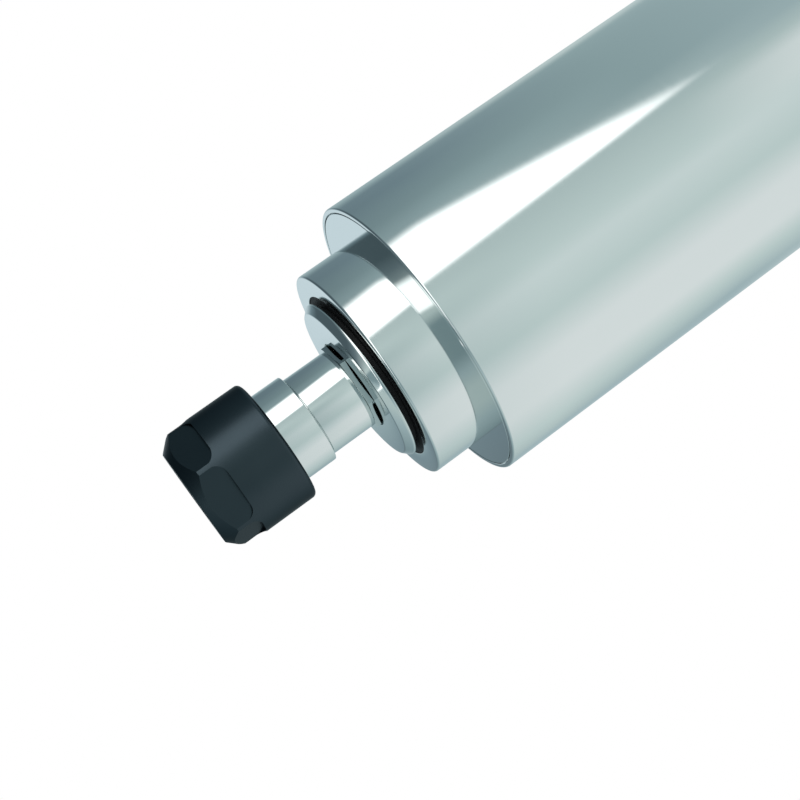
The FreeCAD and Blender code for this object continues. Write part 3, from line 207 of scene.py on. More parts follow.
class SpindleRearSizes(bpy.types.PropertyGroup):
    cap_thickness: length("Cap thickness", "Thickness of the cap outside the jacket", 10.0 * MM)
    cap_spigot: length("Cap spigot", "Radius of the cap's wall inside the jacket", 37.48 * MM)
    cap_inner: length("Cap inner", "Radius of the room inside the cap", 28.48 * MM)
    screw_circle: length("Screw circle", "Radius of the circle of the cap screws", 32.8 * MM)
    screw_radius: length("Screw radius", "Radius of a cap screw's shank", 2.0 * MM)
    head_radius: length("Head radius", "Radius of a cap screw's head", 3.5 * MM)
    head_height: length("Head height", "Height of a cap screw's head", 4.0 * MM)
    head_chamfer: length("Head chamfer", "Chamfer of a cap screw's head", 0.35 * MM)
    socket_across: length("Socket across", "Width of the hexagon in a cap screw", 3.0 * MM)
    socket_depth: length("Socket depth", "Depth of that hexagon", 2.4 * MM)
    screw_gap: length("Screw gap", "Room round a screw's shank or head", 0.2 * MM)
    screws: IntProperty(name="Cap screws", description="Number of cap screws", default=6, min=3)
    port_circle: length("Port circle", "Radius of the circle of the water ports", 32.4 * MM)
    port_radius: length("Port radius", "Radius of a nipple's thread", 4.8 * MM)
    port_depth: length("Port depth", "Depth of a nipple's thread", 7.0 * MM)
    washer_radius: length("Washer radius", "Radius of a nipple's washer", 6.2 * MM)
    washer_thickness: length("Washer thickness", "Thickness of a nipple's washer", 1.2 * MM)
    washer_edge: length("Washer edge", "Rounding of a washer's outer edges", 0.15 * MM)
    nipple_across: length("Nipple across", "Width across a nipple's flats", 12.0 * MM)
    nipple_hexagon: length("Nipple hexagon", "Height of a nipple's hexagon", 5.0 * MM)
    hexagon_trim: length("Hexagon trim", "Height of the chamfer on that hexagon", 0.45 * MM)
    hexagon_inset: length("Hexagon inset", "How far its top stays inside its flats", 0.2 * MM)
    nipple_stem: length("Nipple stem", "Radius of a nipple's stem", 3.0 * MM)
    nipple_bore: length("Nipple bore", "Radius of a nipple's bore", 1.8 * MM)
    nipple_tip: length("Nipple tip", "Rounding of a nipple's tip", 0.5 * MM)
    nipple_mouth: length("Nipple mouth", "Rounding of the bore at the tip", 0.2 * MM)
    nipple_end: length("Nipple end", "Rounding of the end of a nipple's thread", 0.3 * MM)
    connector_y: length("Connector place", "Distance of the connector from the axis", 10.0 * MM)
    connector_radius: length("Connector radius", "Outer radius of the connector's thread", 9.5 * MM)
    connector_wall: length("Connector wall", "Thickness of the connector's shell", 1.5 * MM)
    connector_edge: length("Connector edge", "Rounding inside the shell's mouth", 0.3 * MM)
    connector_flange: length("Connector flange", "Radius of the shell's flange", 12.5 * MM)
    connector_flange_height: length("Flange height", "Thickness of the shell's flange", 3.0 * MM)
    connector_flange_edge: length("Flange edge", "Rounding of the shell's flange", 0.4 * MM)
    connector_neck: length("Connector neck", "Radius of the shell in the cap", 8.9 * MM)
    thread_pitch: length("Thread pitch", "Pitch of the shell's thread", 1.0 * MM)
    thread_depth: length("Thread depth", "Depth of the shell's thread", 0.45 * MM)
    pin_circle: length("Pin circle", "Radius of the circle of the pins", 4.2 * MM)
    pin_radius: length("Pin radius", "Radius of a pin", 0.95 * MM)
    pin_tip: length("Pin tip", "Rounding of a pin's tip", 0.45 * MM)
    pins: IntProperty(name="Pins", description="Number of pins in the connector", default=4, min=2)


class SpindleColours(bpy.types.PropertyGroup):
    steel: colour("Steel", "Colour of the polished and ground steel", "#d8dedd")
    oxide: colour("Black oxide", "Colour of the blackened nut", "#353f45")
    screw: colour("Black screw", "Colour of the blackened screws", "#0e1214")
    rubber: colour("Rubber", "Colour of the seals", "#0d0f11")
    aluminium: colour("Aluminium", "Colour of the turned aluminium", "#cdd0d1")
    nickel: colour("Nickel", "Colour of the nickel plating", "#c9c5ba")
    gold: colour("Gold", "Colour of the plated pins", "#e6c067")
    insulator: colour("Insulator", "Colour of the moulded insulator", "#17181a")
    fibre: colour("Fibre", "Colour of the washers", "#7a2f22")
    copper: colour("Enamelled copper", "Colour of the enamelled wire", "#9a5427")


def add(tree, kind, inputs=None, **settings):
    """Add a node with its settings. Each input is a value, or the output or the node that feeds it."""
    node = tree.nodes.new(kind)
    for name, value in settings.items():
        setattr(node, name, value)
    for name, value in (inputs or {}).items():
        if isinstance(value, bpy.types.Node):
            value = next(output for output in value.outputs if output.enabled)
        if isinstance(value, bpy.types.NodeSocket):
            tree.links.new(value, node.inputs[name])
        else:
            node.inputs[name].default_value = value
    return node


def finish(build):
    """Return the material that has its function's name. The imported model's plain one is built anew, once."""
    name = build.__name__
    material = bpy.data.materials.get(name) or bpy.data.materials.new(name)
    if name in BUILT_FINISHES:
        return material
    BUILT_FINISHES.add(name)
    material.use_nodes = True
    tree = material.node_tree
    tree.nodes.clear()
    shader = add(tree, "ShaderNodeBsdfPrincipled", build(tree))
    add(tree, "ShaderNodeOutputMaterial", {"Surface": shader})
    return material


def lathe_marks(tree, spacing):
    """Return the height of the rings that turning or grinding leaves about the axis.

    Real ones are 0.05 to 0.2 mm apart, too fine to show, so they are drawn several times as coarse.
    """
    place = add(tree, "ShaderNodeTexCoord").outputs["Object"]
    across = add(tree, "ShaderNodeVectorMath", {0: place, 1: (1, 1, 0)}, operation="MULTIPLY")
    radius = add(tree, "ShaderNodeVectorMath", {0: across}, operation="LENGTH")
    along = add(tree, "ShaderNodeSeparateXYZ", {0: place}).outputs["Z"]
    rings = add(tree, "ShaderNodeCombineXYZ", {"X": radius, "Y": along})
    marks = {"Vector": rings, "Scale": 1 / spacing, "Detail": 3.0, "Roughness": 0.6}
    return add(tree, "ShaderNodeTexNoise", marks, noise_dimensions="2D")


def clouds(tree, size, detail=2.0):
    """Return soft patches about so many metres across, for handling marks, grain and uneven finish.

    Sizes under 1 mm stand for grain of a few hundredths of a millimetre, which wouldn't show.
    """
    place = add(tree, "ShaderNodeTexCoord").outputs["Object"]
    return add(tree, "ShaderNodeTexNoise", {"Vector": place, "Scale": 1 / size, "Detail": detail})


def surface(tree, pattern, depth, smooth, rough, tones=None):
    """Return what a pattern gives: a bump of so many metres, the roughness, and the colour between tones."""
    sheen = {"Value": pattern, "To Min": smooth, "To Max": rough}
    skin = {"Normal": add(tree, "ShaderNodeBump", {"Height": pattern, "Distance": depth}),
            "Roughness": add(tree, "ShaderNodeMapRange", sheen)}
    if tones:
        mixed = {"Factor": pattern, FIRST: tones[0], SECOND: tones[1]}
        skin["Base Color"] = add(tree, "ShaderNodeMix", mixed, data_type="RGBA")
    return skin


def colours():
    """Return the colours that a user may change."""
    return bpy.context.scene.spindle_colours


def polished_stainless(tree):
    """Stainless steel, turned and then polished: near-mirror with faint rings, slightly soft edges."""
    skin = surface(tree, lathe_marks(tree, 0.9 * MM), 0.0004 * MM, 0.06, 0.1)
    return {"Base Color": colours().steel, "Metallic": 1.0, "Anisotropic": 0.35, **skin}


def ground_steel(tree):
    """Hardened steel, cylindrically ground: bright, with closer rings than polishing leaves."""
    skin = surface(tree, lathe_marks(tree, 0.35 * MM), 0.0001 * MM, 0.03, 0.06)
    return {"Base Color": colours().steel, "Metallic": 1.0, "Anisotropic": 0.25, **skin}


def turned_stainless(tree):
    """Stainless steel left as turned: visible rings and a satin sheen round the axis."""
    skin = surface(tree, lathe_marks(tree, 0.6 * MM), 0.004 * MM, 0.22, 0.34)
    return {"Base Color": colours().steel, "Metallic": 1.0, "Anisotropic": 0.6, **skin}


def black_oxide_steel(tree):
    """Steel with an oiled black oxide skin: dark, slightly blue and satin, and dark at its edges too."""
    skin = surface(tree, clouds(tree, 0.5 * MM, 3.0), 0.004 * MM, 0.26, 0.34)
    worn = {"Factor": clouds(tree, 12 * MM), FIRST: colours().oxide, SECOND: linear("#3b464b")}
    tone = add(tree, "ShaderNodeMix", worn, data_type="RGBA")
    return {"Base Color": tone, "Metallic": 1.0, "Specular Tint": linear("#bcbcbc"), **skin}


def black_oxide_screw(tree):
    """Alloy steel screw with a black oxide skin: darker and drier than the nut."""
    skin = surface(tree, clouds(tree, 0.4 * MM, 3.0), 0.006 * MM, 0.4, 0.55)
    return {"Base Color": colours().screw, "IOR": 1.55, **skin}


def black_rubber(tree):
    """Nitrile rubber, moulded: black and dull with a fine bloom."""
    tones = colours().rubber, linear("#181a1c")
    return {"IOR": 1.5, **surface(tree, clouds(tree, 1.5 * MM, 3.0), 0.01 * MM, 0.55, 0.75, tones)}


def turned_aluminium(tree):
    """Aluminium alloy left as turned: pale and satin, with open rings."""
    skin = surface(tree, lathe_marks(tree, 0.5 * MM), 0.006 * MM, 0.28, 0.42)
    return {"Base Color": colours().aluminium, "Metallic": 1.0, "Anisotropic": 0.5, **skin}


def nickel_plated_brass(tree):
    """Brass turned and nickel plated: bright and faintly warm, with soft handling haze."""
    skin = surface(tree, clouds(tree, 3 * MM), 0.004 * MM, 0.16, 0.28)
    return {"Base Color": colours().nickel, "Metallic": 1.0, **skin}


def gold_plated_pin(tree):
    """Turned brass pin with gold plating: warm and bright."""
    skin = surface(tree, clouds(tree, 1.0 * MM), 0.002 * MM, 0.15, 0.25)
    return {"Base Color": colours().gold, "Metallic": 1.0, **skin}


def black_insulator(tree):
    """Glass-filled moulding: black, slightly grainy, half dull."""
    tones = colours().insulator, linear("#232426")
    return {"IOR": 1.55, **surface(tree, clouds(tree, 0.6 * MM, 3.0), 0.008 * MM, 0.4, 0.6, tones)}


def fibre_washer(tree):
    """Pressed red fibre: matt, with a short tangled grain."""
    tones = colours().fibre, linear("#955041")
    return surface(tree, clouds(tree, 0.5 * MM, 4.0), 0.02 * MM, 0.75, 0.85, tones)


def lamination_steel(tree):
    """Stacked electrical sheet: grey, with a line at each sheet."""
    sheet = 4 * 0.35 * MM    # four times as coarse as the real sheet, or the lines wouldn't show
    along = add(tree, "ShaderNodeSeparateXYZ", {0: add(tree, "ShaderNodeTexCoord").outputs["Object"]})
    turns = add(tree, "ShaderNodeMath", {0: along.outputs["Z"], 1: 2 * math.pi / sheet}, operation="MULTIPLY")
    lines = add(tree, "ShaderNodeMath", {0: turns}, operation="SINE")
    tones = linear("#787d80"), linear("#868b8e")
    return {"Metallic": 1.0, **surface(tree, lines, 0.02 * MM, 0.4, 0.5, tones)}


def enamelled_copper(tree):
    """Enamelled copper wire, laced and varnished: amber brown strands that run round the axis."""
    tones = colours().copper, linear("#5c2d12")
    return {"Coat Weight": 0.5, **surface(tree, lathe_marks(tree, 0.9 * MM), 0.15 * MM, 0.3, 0.4, tones)}


def cast_aluminium(tree):
    """Pressure-cast aluminium: pale grey, dull, with a grainy skin."""
    tones = linear("#a9acad"), linear("#c3c6c7")
    return {"Metallic": 1.0, **surface(tree, clouds(tree, 0.9 * MM, 4.0), 0.03 * MM, 0.45, 0.65, tones)}


def phenolic_cage(tree):
    """Fabric-reinforced phenolic: brown, half dull, with a woven fleck."""
    tones = linear("#5f3d1c"), linear("#7d5427")
    return surface(tree, clouds(tree, 0.4 * MM, 3.0), 0.01 * MM, 0.45, 0.55, tones)


def bearing_steel(tree):
    """Through-hardened steel, ground and honed: bright with a faint grey cast."""
    skin = surface(tree, lathe_marks(tree, 0.3 * MM), 0.0005 * MM, 0.1, 0.18)
    return {"Base Color": linear("#c9cdd0"), "Metallic": 1.0, **skin}


def turned_steel(tree):
    """Plain steel left as turned: grey and satin, with open rings."""
    skin = surface(tree, lathe_marks(tree, 0.5 * MM), 0.005 * MM, 0.3, 0.42)
    return {"Base Color": linear("#a5a8ab"), "Metallic": 1.0, **skin}


def painted_board(tree):
    """Board with matt white paint: pale and even."""
    return {"Base Color": linear("#fbfbfb"), "Roughness": 0.9, "IOR": 1.3}


def spun(points, steps=ROUND_STEPS):
    """Turn a closed outline about the axis. A corner is (radius, z), and a third number rounds it."""
    bm = bmesh.new()
    corners = [bm.verts.new((point[0], 0, point[1])) for point in points]
    bm.faces.new(corners)
    for corner, point in zip(corners, points):
        if len(point) == 3:
            bmesh.ops.bevel(bm, geom=[corner], affect="VERTICES", offset=point[2], segments=ARC_STEPS,
                            profile=0.5, material=-1)
    bmesh.ops.delete(bm, geom=list(bm.faces), context="FACES_ONLY")
    bmesh.ops.spin(bm, geom=list(bm.verts) + list(bm.edges), cent=(0, 0, 0), axis=(0, 0, 1),
                   angle=2 * math.pi, steps=steps, use_merge=True)
    return cleaned(bm)


def cleaned(bm):
    """Merge doubles, drop loose edges and turn every face outwards."""
    bmesh.ops.remove_doubles(bm, verts=bm.verts, dist=MERGE_DISTANCE)
    loose = [edge for edge in bm.edges if edge.is_wire]
    bmesh.ops.delete(bm, geom=loose, context="EDGES")
    bmesh.ops.recalc_face_normals(bm, faces=bm.faces)
    return bm


def corner_radius(across):
    """Return the distance of a hexagon's corner from its middle."""
    return across / 2 / math.cos(math.radians(HALF_SIDE_ANGLE))


def prism(across, bottom, top):
    """Return an upright hexagonal prism on the axis, with a corner towards X."""
    bm = bmesh.new()
    radius = corner_radius(across)
    place = Matrix.Translation((0, 0, (bottom + top) / 2))
    bmesh.ops.create_cone(bm, cap_ends=True, segments=HEX_SIDES, radius1=radius, radius2=radius,
                          depth=top - bottom, matrix=place)
    return bm


def moved(bm, x=0.0, y=0.0, turn=0.0):
    """Move a shape across the axis and then turn it about the axis."""
    bmesh.ops.translate(bm, verts=bm.verts, vec=(x, y, 0))
    bmesh.ops.rotate(bm, verts=bm.verts, cent=(0, 0, 0), matrix=Matrix.Rotation(turn, 3, "Z"))
    return bm


def joined(shapes):
    """Put several shapes into one bmesh."""
    whole = bmesh.new()
    for shape in shapes:
        mesh = bpy.data.meshes.new("part")
        shape.to_mesh(mesh)
        shape.free()
        whole.from_mesh(mesh)
        bpy.data.meshes.remove(mesh)
    return whole


def carved(bm, tools):
    """Cut the tools out of a shape."""
    shapes = []
    for name, shape in (("block", bm), ("tools", joined(tools))):
        mesh = bpy.data.meshes.new(name)
        shape.to_mesh(mesh)
        shape.free()
        shapes.append(bpy.data.objects.new(name, mesh))
        bpy.context.scene.collection.objects.link(shapes[-1])
    block, cutter = shapes
    cut = block.modifiers.new("carve", "BOOLEAN")
    cut.object = cutter
    cut.operation = "DIFFERENCE"
    cut.solver = "EXACT"
    solid = block.evaluated_get(bpy.context.evaluated_depsgraph_get())
    rest = bmesh.new()
    rest.from_mesh(solid.to_mesh())
    solid.to_mesh_clear()
    for shape in shapes:
        mesh = shape.data
        bpy.data.objects.remove(shape)
        bpy.data.meshes.remove(mesh)
    bmesh.ops.remove_doubles(rest, verts=rest.verts, dist=MERGE_DISTANCE)
    return rest


def piece(name, bm, material, *nodes):
    """Make an object that rides on the body of the CAD nodes that it stands for."""
    for face in bm.faces:
        face.smooth = True
    for edge in bm.edges:
        edge.smooth = edge.calc_face_angle(math.pi) < math.radians(SHARP_ANGLE)
    mesh = bpy.data.meshes.new(name)
    bm.to_mesh(mesh)
    bm.free()
    mesh.materials.append(material)
    made = bpy.data.objects.new(name, mesh)
    bpy.context.scene.collection.objects.link(made)
    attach(made, body_of(nodes[0]))
    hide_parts(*nodes)
    return made


def body_of(node):
    """Return the name of the body that a CAD node rides on."""
    for body, empty in frame["bodies"].items():
        if frame["nodes"][node].parent == empty:
            return body
    raise RuntimeError("no body carries " + node)


class SPINDLE_OT_outer_jacket(bpy.types.Operator):
    """Build the polished tube that is the outside of the body"""
    bl_idname = "spindle.outer_jacket"
    bl_label = "Outer jacket"

    def execute(self, context):
        size = context.scene.spindle_body
        outside = high("outer_jacket").x
        bore = outside - size.jacket_wall
        front = low("outer_jacket").z
        end = high("outer_jacket").z
        edge = size.joint_chamfer
        seat = outside - size.front_wall
        seat_end = front + size.flange_thickness
        outline = [(seat, front + edge), (seat + edge, front), (outside, front, size.rim_radius),
                   (outside, end - edge), (outside - edge, end), (bore, end), (bore, seat_end),
                   (seat, seat_end)]
        piece("jacket_tube", spun(outline), finish(polished_stainless), "outer_jacket")
        return {"FINISHED"}


class SPINDLE_OT_front_housing(bpy.types.Operator):
    """Build the flange and the collar that carry the front bearings"""
    bl_idname = "spindle.front_housing"
    bl_label = "Front housing"

    def execute(self, context):
        size = context.scene.spindle_body
        edge = size.joint_chamfer
        collar_face = low("front_housing").z
        shoulder = low("outer_jacket").z
        outside = high("outer_jacket").x - size.front_wall - size.joint_gap
        groove = outside - size.groove_width
        recess = size.collar_radius - size.collar_rim
        recess_z = collar_face + size.collar_recess
        flange_end = shoulder + size.flange_thickness
        end = high("front_housing").z
        seat_z = collar_face + size.bearing_setback
        outline = [(recess, collar_face, edge), (size.collar_radius, collar_face, size.collar_edge),
                   (size.collar_radius, shoulder), (groove - edge, shoulder), (groove, shoulder + edge),
                   (groove, shoulder + size.groove_depth), (outside, shoulder + size.groove_depth),
                   (outside, flange_end), (size.spigot_radius, flange_end), (size.spigot_radius, end),
                   (size.bearing_radius, end), (size.bearing_radius, seat_z), (size.seal_bore, seat_z),
                   (size.seal_bore, recess_z), (recess, recess_z)]
        piece("collar_flange", spun(outline), finish(polished_stainless), "front_housing")
        return {"FINISHED"}


class SPINDLE_OT_slinger(bpy.types.Operator):
    """Build the disc in front of the collar and the rubber seal behind it"""
    bl_idname = "spindle.slinger"
    bl_label = "Slinger and seal"

    def execute(self, context):
        size = context.scene.spindle_shaft
        body = context.scene.spindle_body
        face = low("slinger_nut").z
        end = high("slinger_nut").z
        outside = high("slinger_nut").x
        back = face + size.slinger_thickness
        bore = size.seat_radius + FIT_GAP
        edge = size.slinger_edge
        chamfer = size.slinger_chamfer
        outline = [(bore, face), (outside - chamfer, face, edge), (outside, face + chamfer, edge),
                   (outside, back, edge), (size.slinger_hub, back),
                   (size.slinger_hub, end - edge), (size.slinger_hub - edge, end), (bore, end)]
        piece("slinger_disc", spun(outline), finish(polished_stainless), "slinger_nut")
        seal_low = low("v_ring").z
        seal_high = high("v_ring").z
        lip = body.collar_radius - body.collar_rim - size.seal_gap
        ring = high("v_ring").x - size.seal_waist
        hub = size.slinger_hub + FIT_GAP
        lip_low = low("front_housing").z + size.seal_setback
        lip_high = lip_low + size.seal_lip
        outline = [(hub, seal_low), (ring, seal_low, edge), (ring, lip_low), (lip, lip_low),
                   (lip, lip_high), (ring, lip_high), (ring, seal_high), (hub, seal_high)]
        piece("seal_ring", spun(outline), finish(black_rubber), "v_ring")
        return {"FINISHED"}


class SPINDLE_OT_shaft(bpy.types.Operator):
    """Build the shaft with its spanner flats, polished neck, land and collet taper"""
    bl_idname = "spindle.shaft"
    bl_label = "Shaft"

    def execute(self, context):
        size = context.scene.spindle_shaft
        nose = low("shaft").z
        end = high("shaft").z
        face = low("slinger_nut").z
        flats_end = face - size.flats_length
        flats_start = face + size.flats_depth
        neck_end = flats_end - size.neck_length
        groove = size.neck_radius - size.groove_depth
        taper_end = nose + size.taper_depth
        bore_end = nose + size.shank_depth
        front_end = high("front_housing").z
        shoulder_end = front_end + size.shoulder_length
        rear_start = low("rear_inner_rings").z
        front = [(0, bore_end), (size.shank_bore, bore_end), (size.shank_bore, taper_end),
                 (size.taper_end, taper_end), (size.taper_mouth, nose),
                 (size.land_radius, nose, size.nose_edge), (size.land_radius, neck_end, size.land_edge),
                 (groove, neck_end), (groove, neck_end + size.groove_width),
                 (size.neck_radius, neck_end + size.groove_width, size.neck_edge),
                 (size.neck_radius, flats_end, size.neck_blend), (0, flats_end)]
        rear = [(0, flats_start), (size.seat_radius, flats_start), (size.seat_radius, front_end),
                (size.shoulder_radius, front_end), (size.shoulder_radius, shoulder_end),
                (size.core_seat, shoulder_end), (size.core_seat, rear_start), (size.rear_seat, rear_start),
                (size.rear_seat, end, size.tail_edge), (0, end)]
        flats = moved(prism(size.flats_across, flats_end, flats_start), turn=math.radians(HALF_SIDE_ANGLE))
        shaft = joined([spun(front), flats, spun(rear)])
        piece("shaft_turned", shaft, finish(ground_steel), "shaft")
        return {"FINISHED"}


class SPINDLE_OT_collet(bpy.types.Operator):
    """Build the collet with its slits from both ends"""
    bl_idname = "spindle.collet"
    bl_label = "Collet"

    def execute(self, context):
        size = context.scene.spindle_clamp
        face = low("collet").z
        tail = high("collet").z
        nose = low("shaft").z
        head_end = face + size.collet_head_length
        groove_start = head_end + size.collet_head_land
        groove_end = groove_start + size.collet_groove_width
        edge = size.collet_edge
        outline = [(size.collet_bore, face, edge), (size.collet_face, face, edge),
                   (size.collet_head, head_end), (size.collet_head, groove_start),
                   (size.collet_groove, groove_start), (size.collet_groove, groove_end),
                   (size.collet_mouth, groove_end), (size.collet_mouth, nose), (size.collet_tail, tail),
                   (size.collet_bore, tail)]
        inner = size.collet_bore - OVERCUT
        outer = size.collet_mouth + OVERCUT
        slits = []
        half_turn = math.pi / size.slits
        for i in range(size.slits):
            for start, stop, turn in ((face - OVERCUT, tail - size.front_slit_stop, 0.0),
                                      (face + size.rear_slit_stop, tail + OVERCUT, half_turn)):
                slit = bmesh.new()
                middle = Vector(((inner + outer) / 2, 0, (start + stop) / 2))
                spans = Vector((outer - inner, size.slit_width, stop - start))
                bmesh.ops.create_cube(slit, size=1.0, matrix=Matrix.LocRotScale(middle, None, spans))
                slits.append(moved(slit, turn=size.slit_turn + turn + 2 * half_turn * i))
        piece("collet_slit", carved(spun(outline), slits), finish(ground_steel), "collet")
        return {"FINISHED"}


class SPINDLE_OT_clamping_nut(bpy.types.Operator):
    """Build the black nut with its six arch-ended flats"""
    bl_idname = "spindle.clamping_nut"
    bl_label = "Clamping nut"

    def flat(self, size, front, radius):
        """Return the metal that one flat takes off, towards X."""
        half = math.sqrt(radius ** 2 - (size.nut_across / 2) ** 2) + size.flat_margin
        bm = bmesh.new()
        ends = [(-half, front - OVERCUT), (-half, front + size.flat_length),
                (half, front + size.flat_length), (half, front - OVERCUT)]
        corners = [bm.verts.new((size.nut_across / 2, y, z)) for y, z in ends]
        bm.faces.new(corners)
        bmesh.ops.bevel(bm, geom=corners[1:3], affect="VERTICES", offset=size.flat_corner,
                        segments=ARCH_STEPS, profile=0.5, material=-1)
        sheet = bmesh.ops.extrude_face_region(bm, geom=list(bm.faces))
        far = [item for item in sheet["geom"] if isinstance(item, bmesh.types.BMVert)]
        bmesh.ops.translate(bm, verts=far, vec=(radius, 0, 0))
        bmesh.ops.recalc_face_normals(bm, faces=bm.faces)
        return bm

    def execute(self, context):
        size = context.scene.spindle_clamp
        front = low("clamping_nut").z
        back = high("clamping_nut").z
        radius = high("clamping_nut").y
        lip_end = front + size.lip_length
        seat_end = lip_end + size.seat_length
        cavity_end = lip_end + size.cavity_length
        outline = [(size.thread_radius, back), (radius, back, size.nut_edge),
                   (radius, front + size.chamfer_axial), (radius - size.chamfer_radial, front, size.lip_edge),
                   (size.opening_radius, front, size.lip_edge), (size.opening_radius, lip_end),
                   (size.seat_radius, seat_end), (size.cavity_radius, seat_end),
                   (size.cavity_radius, cavity_end), (size.thread_radius, cavity_end)]
        turns = [size.ridge_turn + math.radians(HALF_SIDE_ANGLE * (2 * i + 1)) for i in range(HEX_SIDES)]
        flats = [moved(self.flat(size, front, radius), turn=turn) for turn in turns]
        nut = carved(spun(outline), flats)
        piece("nut_black", nut, finish(black_oxide_steel), "clamping_nut")
        return {"FINISHED"}


class SPINDLE_OT_rear_cap(bpy.types.Operator):
    """Build the rear cap and its socket screws"""
    bl_idname = "spindle.rear_cap"
    bl_label = "Rear cap"

    def openings(self, size, face, inside, foot):
        """Return what the screws, the nipples and the connector take out of the cap."""
        top = face + OVERCUT
        under = foot - OVERCUT
        head = size.head_radius + size.screw_gap
        shank = size.screw_radius + size.screw_gap
        seat = face - size.head_height
        counterbore = [(0, under), (shank, under), (shank, seat), (head, seat), (head, top), (0, top)]
        port = size.port_radius + FIT_GAP
        passage = size.port_radius / 2
        port_end = face - size.port_depth
        tapped = [(0, under), (passage, under), (passage, port_end), (port, port_end), (port, top), (0, top)]
        neck = size.connector_neck + FIT_GAP
        opening = [(0, inside - OVERCUT), (neck, inside - OVERCUT), (neck, top), (0, top)]
        tools = [moved(spun(counterbore, SMALL_STEPS), x=size.screw_circle, turn=turn)
                 for turn in screw_turns(size)]
        tools += [moved(spun(tapped, SMALL_STEPS), x=size.port_circle, turn=turn) for turn in port_turns()]
        return tools + [moved(spun(opening, MIDDLE_STEPS), y=size.connector_y)]

    def screw(self, size, face):
        """Return a socket screw on the axis, its head level with the cap's face."""
        end = low("rear_cap_screws").z
        seat = face - size.head_height
        chamfer = size.head_chamfer
        outline = [(0, end), (size.screw_radius, end, chamfer), (size.screw_radius, seat),
                   (size.head_radius, seat), (size.head_radius, face, chamfer), (0, face)]
        socket = prism(size.socket_across, face - size.socket_depth, face + OVERCUT)
        return carved(spun(outline, SMALL_STEPS), [socket])

    def execute(self, context):
        size = context.scene.spindle_rear
        body = context.scene.spindle_body
        edge = body.joint_chamfer
        face = high("rear_cap").z
        inside = face - size.cap_thickness
        foot = low("rear_cap").z
        outside = high("outer_jacket").x
        outline = [(0, face), (0, inside), (size.cap_inner, inside), (size.cap_inner, foot),
                   (size.cap_spigot, foot), (size.cap_spigot, inside), (outside - edge, inside),
                   (outside, inside + edge), (outside, face, body.cap_edge)]
        cap = carved(spun(outline), self.openings(size, face, inside, foot))
        piece("cap_turned", cap, finish(turned_stainless), "rear_cap")
        screws = [moved(self.screw(size, face), x=size.screw_circle, turn=turn) for turn in screw_turns(size)]
        piece("cap_screws", joined(screws), finish(black_oxide_screw), "rear_cap_screws")
        return {"FINISHED"}


def screw_turns(size):
    """Return the directions of the cap screws, which start between X and Y."""
    step = 2 * math.pi / size.screws
    return [step / 2 + i * step for i in range(size.screws)]


def port_turns():
    """Return the directions of the inlet and the outlet, read from their places in the frame."""
    turns = []
    for node in ("water_inlet", "water_outlet"):
        middle = (Vector(low(node)) + Vector(high(node))) / 2
        turns.append(math.atan2(middle.y, middle.x))
    return turns


class SPINDLE_OT_water_nipples(bpy.types.Operator):
    """Build the two hose nipples and their washers"""
    bl_idname = "spindle.water_nipples"
    bl_label = "Water nipples"

    def execute(self, context):
        size = context.scene.spindle_rear
        face = high("rear_cap").z
        seat = face + size.washer_thickness
        hexagon_top = seat + size.nipple_hexagon
        tip = high("water_inlet").z
        thread_end = face - size.port_depth
        thread_top = hexagon_top - OVERLAP
        stem = [(size.nipple_bore, thread_end), (size.port_radius, thread_end, size.nipple_end),
                (size.port_radius, thread_top), (size.nipple_stem, thread_top),
                (size.nipple_stem, tip, size.nipple_tip), (size.nipple_bore, tip, size.nipple_mouth)]
        hole = size.port_radius + FIT_GAP
        edge = size.washer_edge
        washer = [(hole, face), (size.washer_radius, face, edge), (size.washer_radius, seat, edge),
                  (hole, seat)]
        corner = corner_radius(size.nipple_across)
        inner = size.nipple_stem - OVERLAP
        crown = [(inner, seat), (corner, seat), (corner, hexagon_top - size.hexagon_trim),
                 (size.nipple_across / 2 - size.hexagon_inset, hexagon_top), (inner, hexagon_top)]
        plated = finish(nickel_plated_brass)
        washers = []
        for node, turn in zip(("water_inlet", "water_outlet"), port_turns()):
            outside = ring_outside(size.nipple_across, corner, seat - OVERCUT, hexagon_top + OVERCUT)
            hexagon = carved(spun(crown, MIDDLE_STEPS), [outside])
            nipple = joined([hexagon, spun(stem, SMALL_STEPS)])
            piece(node + "_nipple", moved(nipple, x=size.port_circle, turn=turn), plated, node)
            washers.append(moved(spun(washer, SMALL_STEPS), x=size.port_circle, turn=turn))
        piece("fibre_washers", joined(washers), finish(fibre_washer), "nipple_washers")
        return {"FINISHED"}


def ring_outside(across, corner, bottom, top):
    """Return what lies outside a hexagon and inside a wider circle, to mill six sides with."""
    wide = corner + OVERCUT
    disc = spun([(0, bottom), (wide, bottom), (wide, top), (0, top)], SMALL_STEPS)
    return carved(disc, [prism(across, bottom - OVERCUT, top + OVERCUT)])


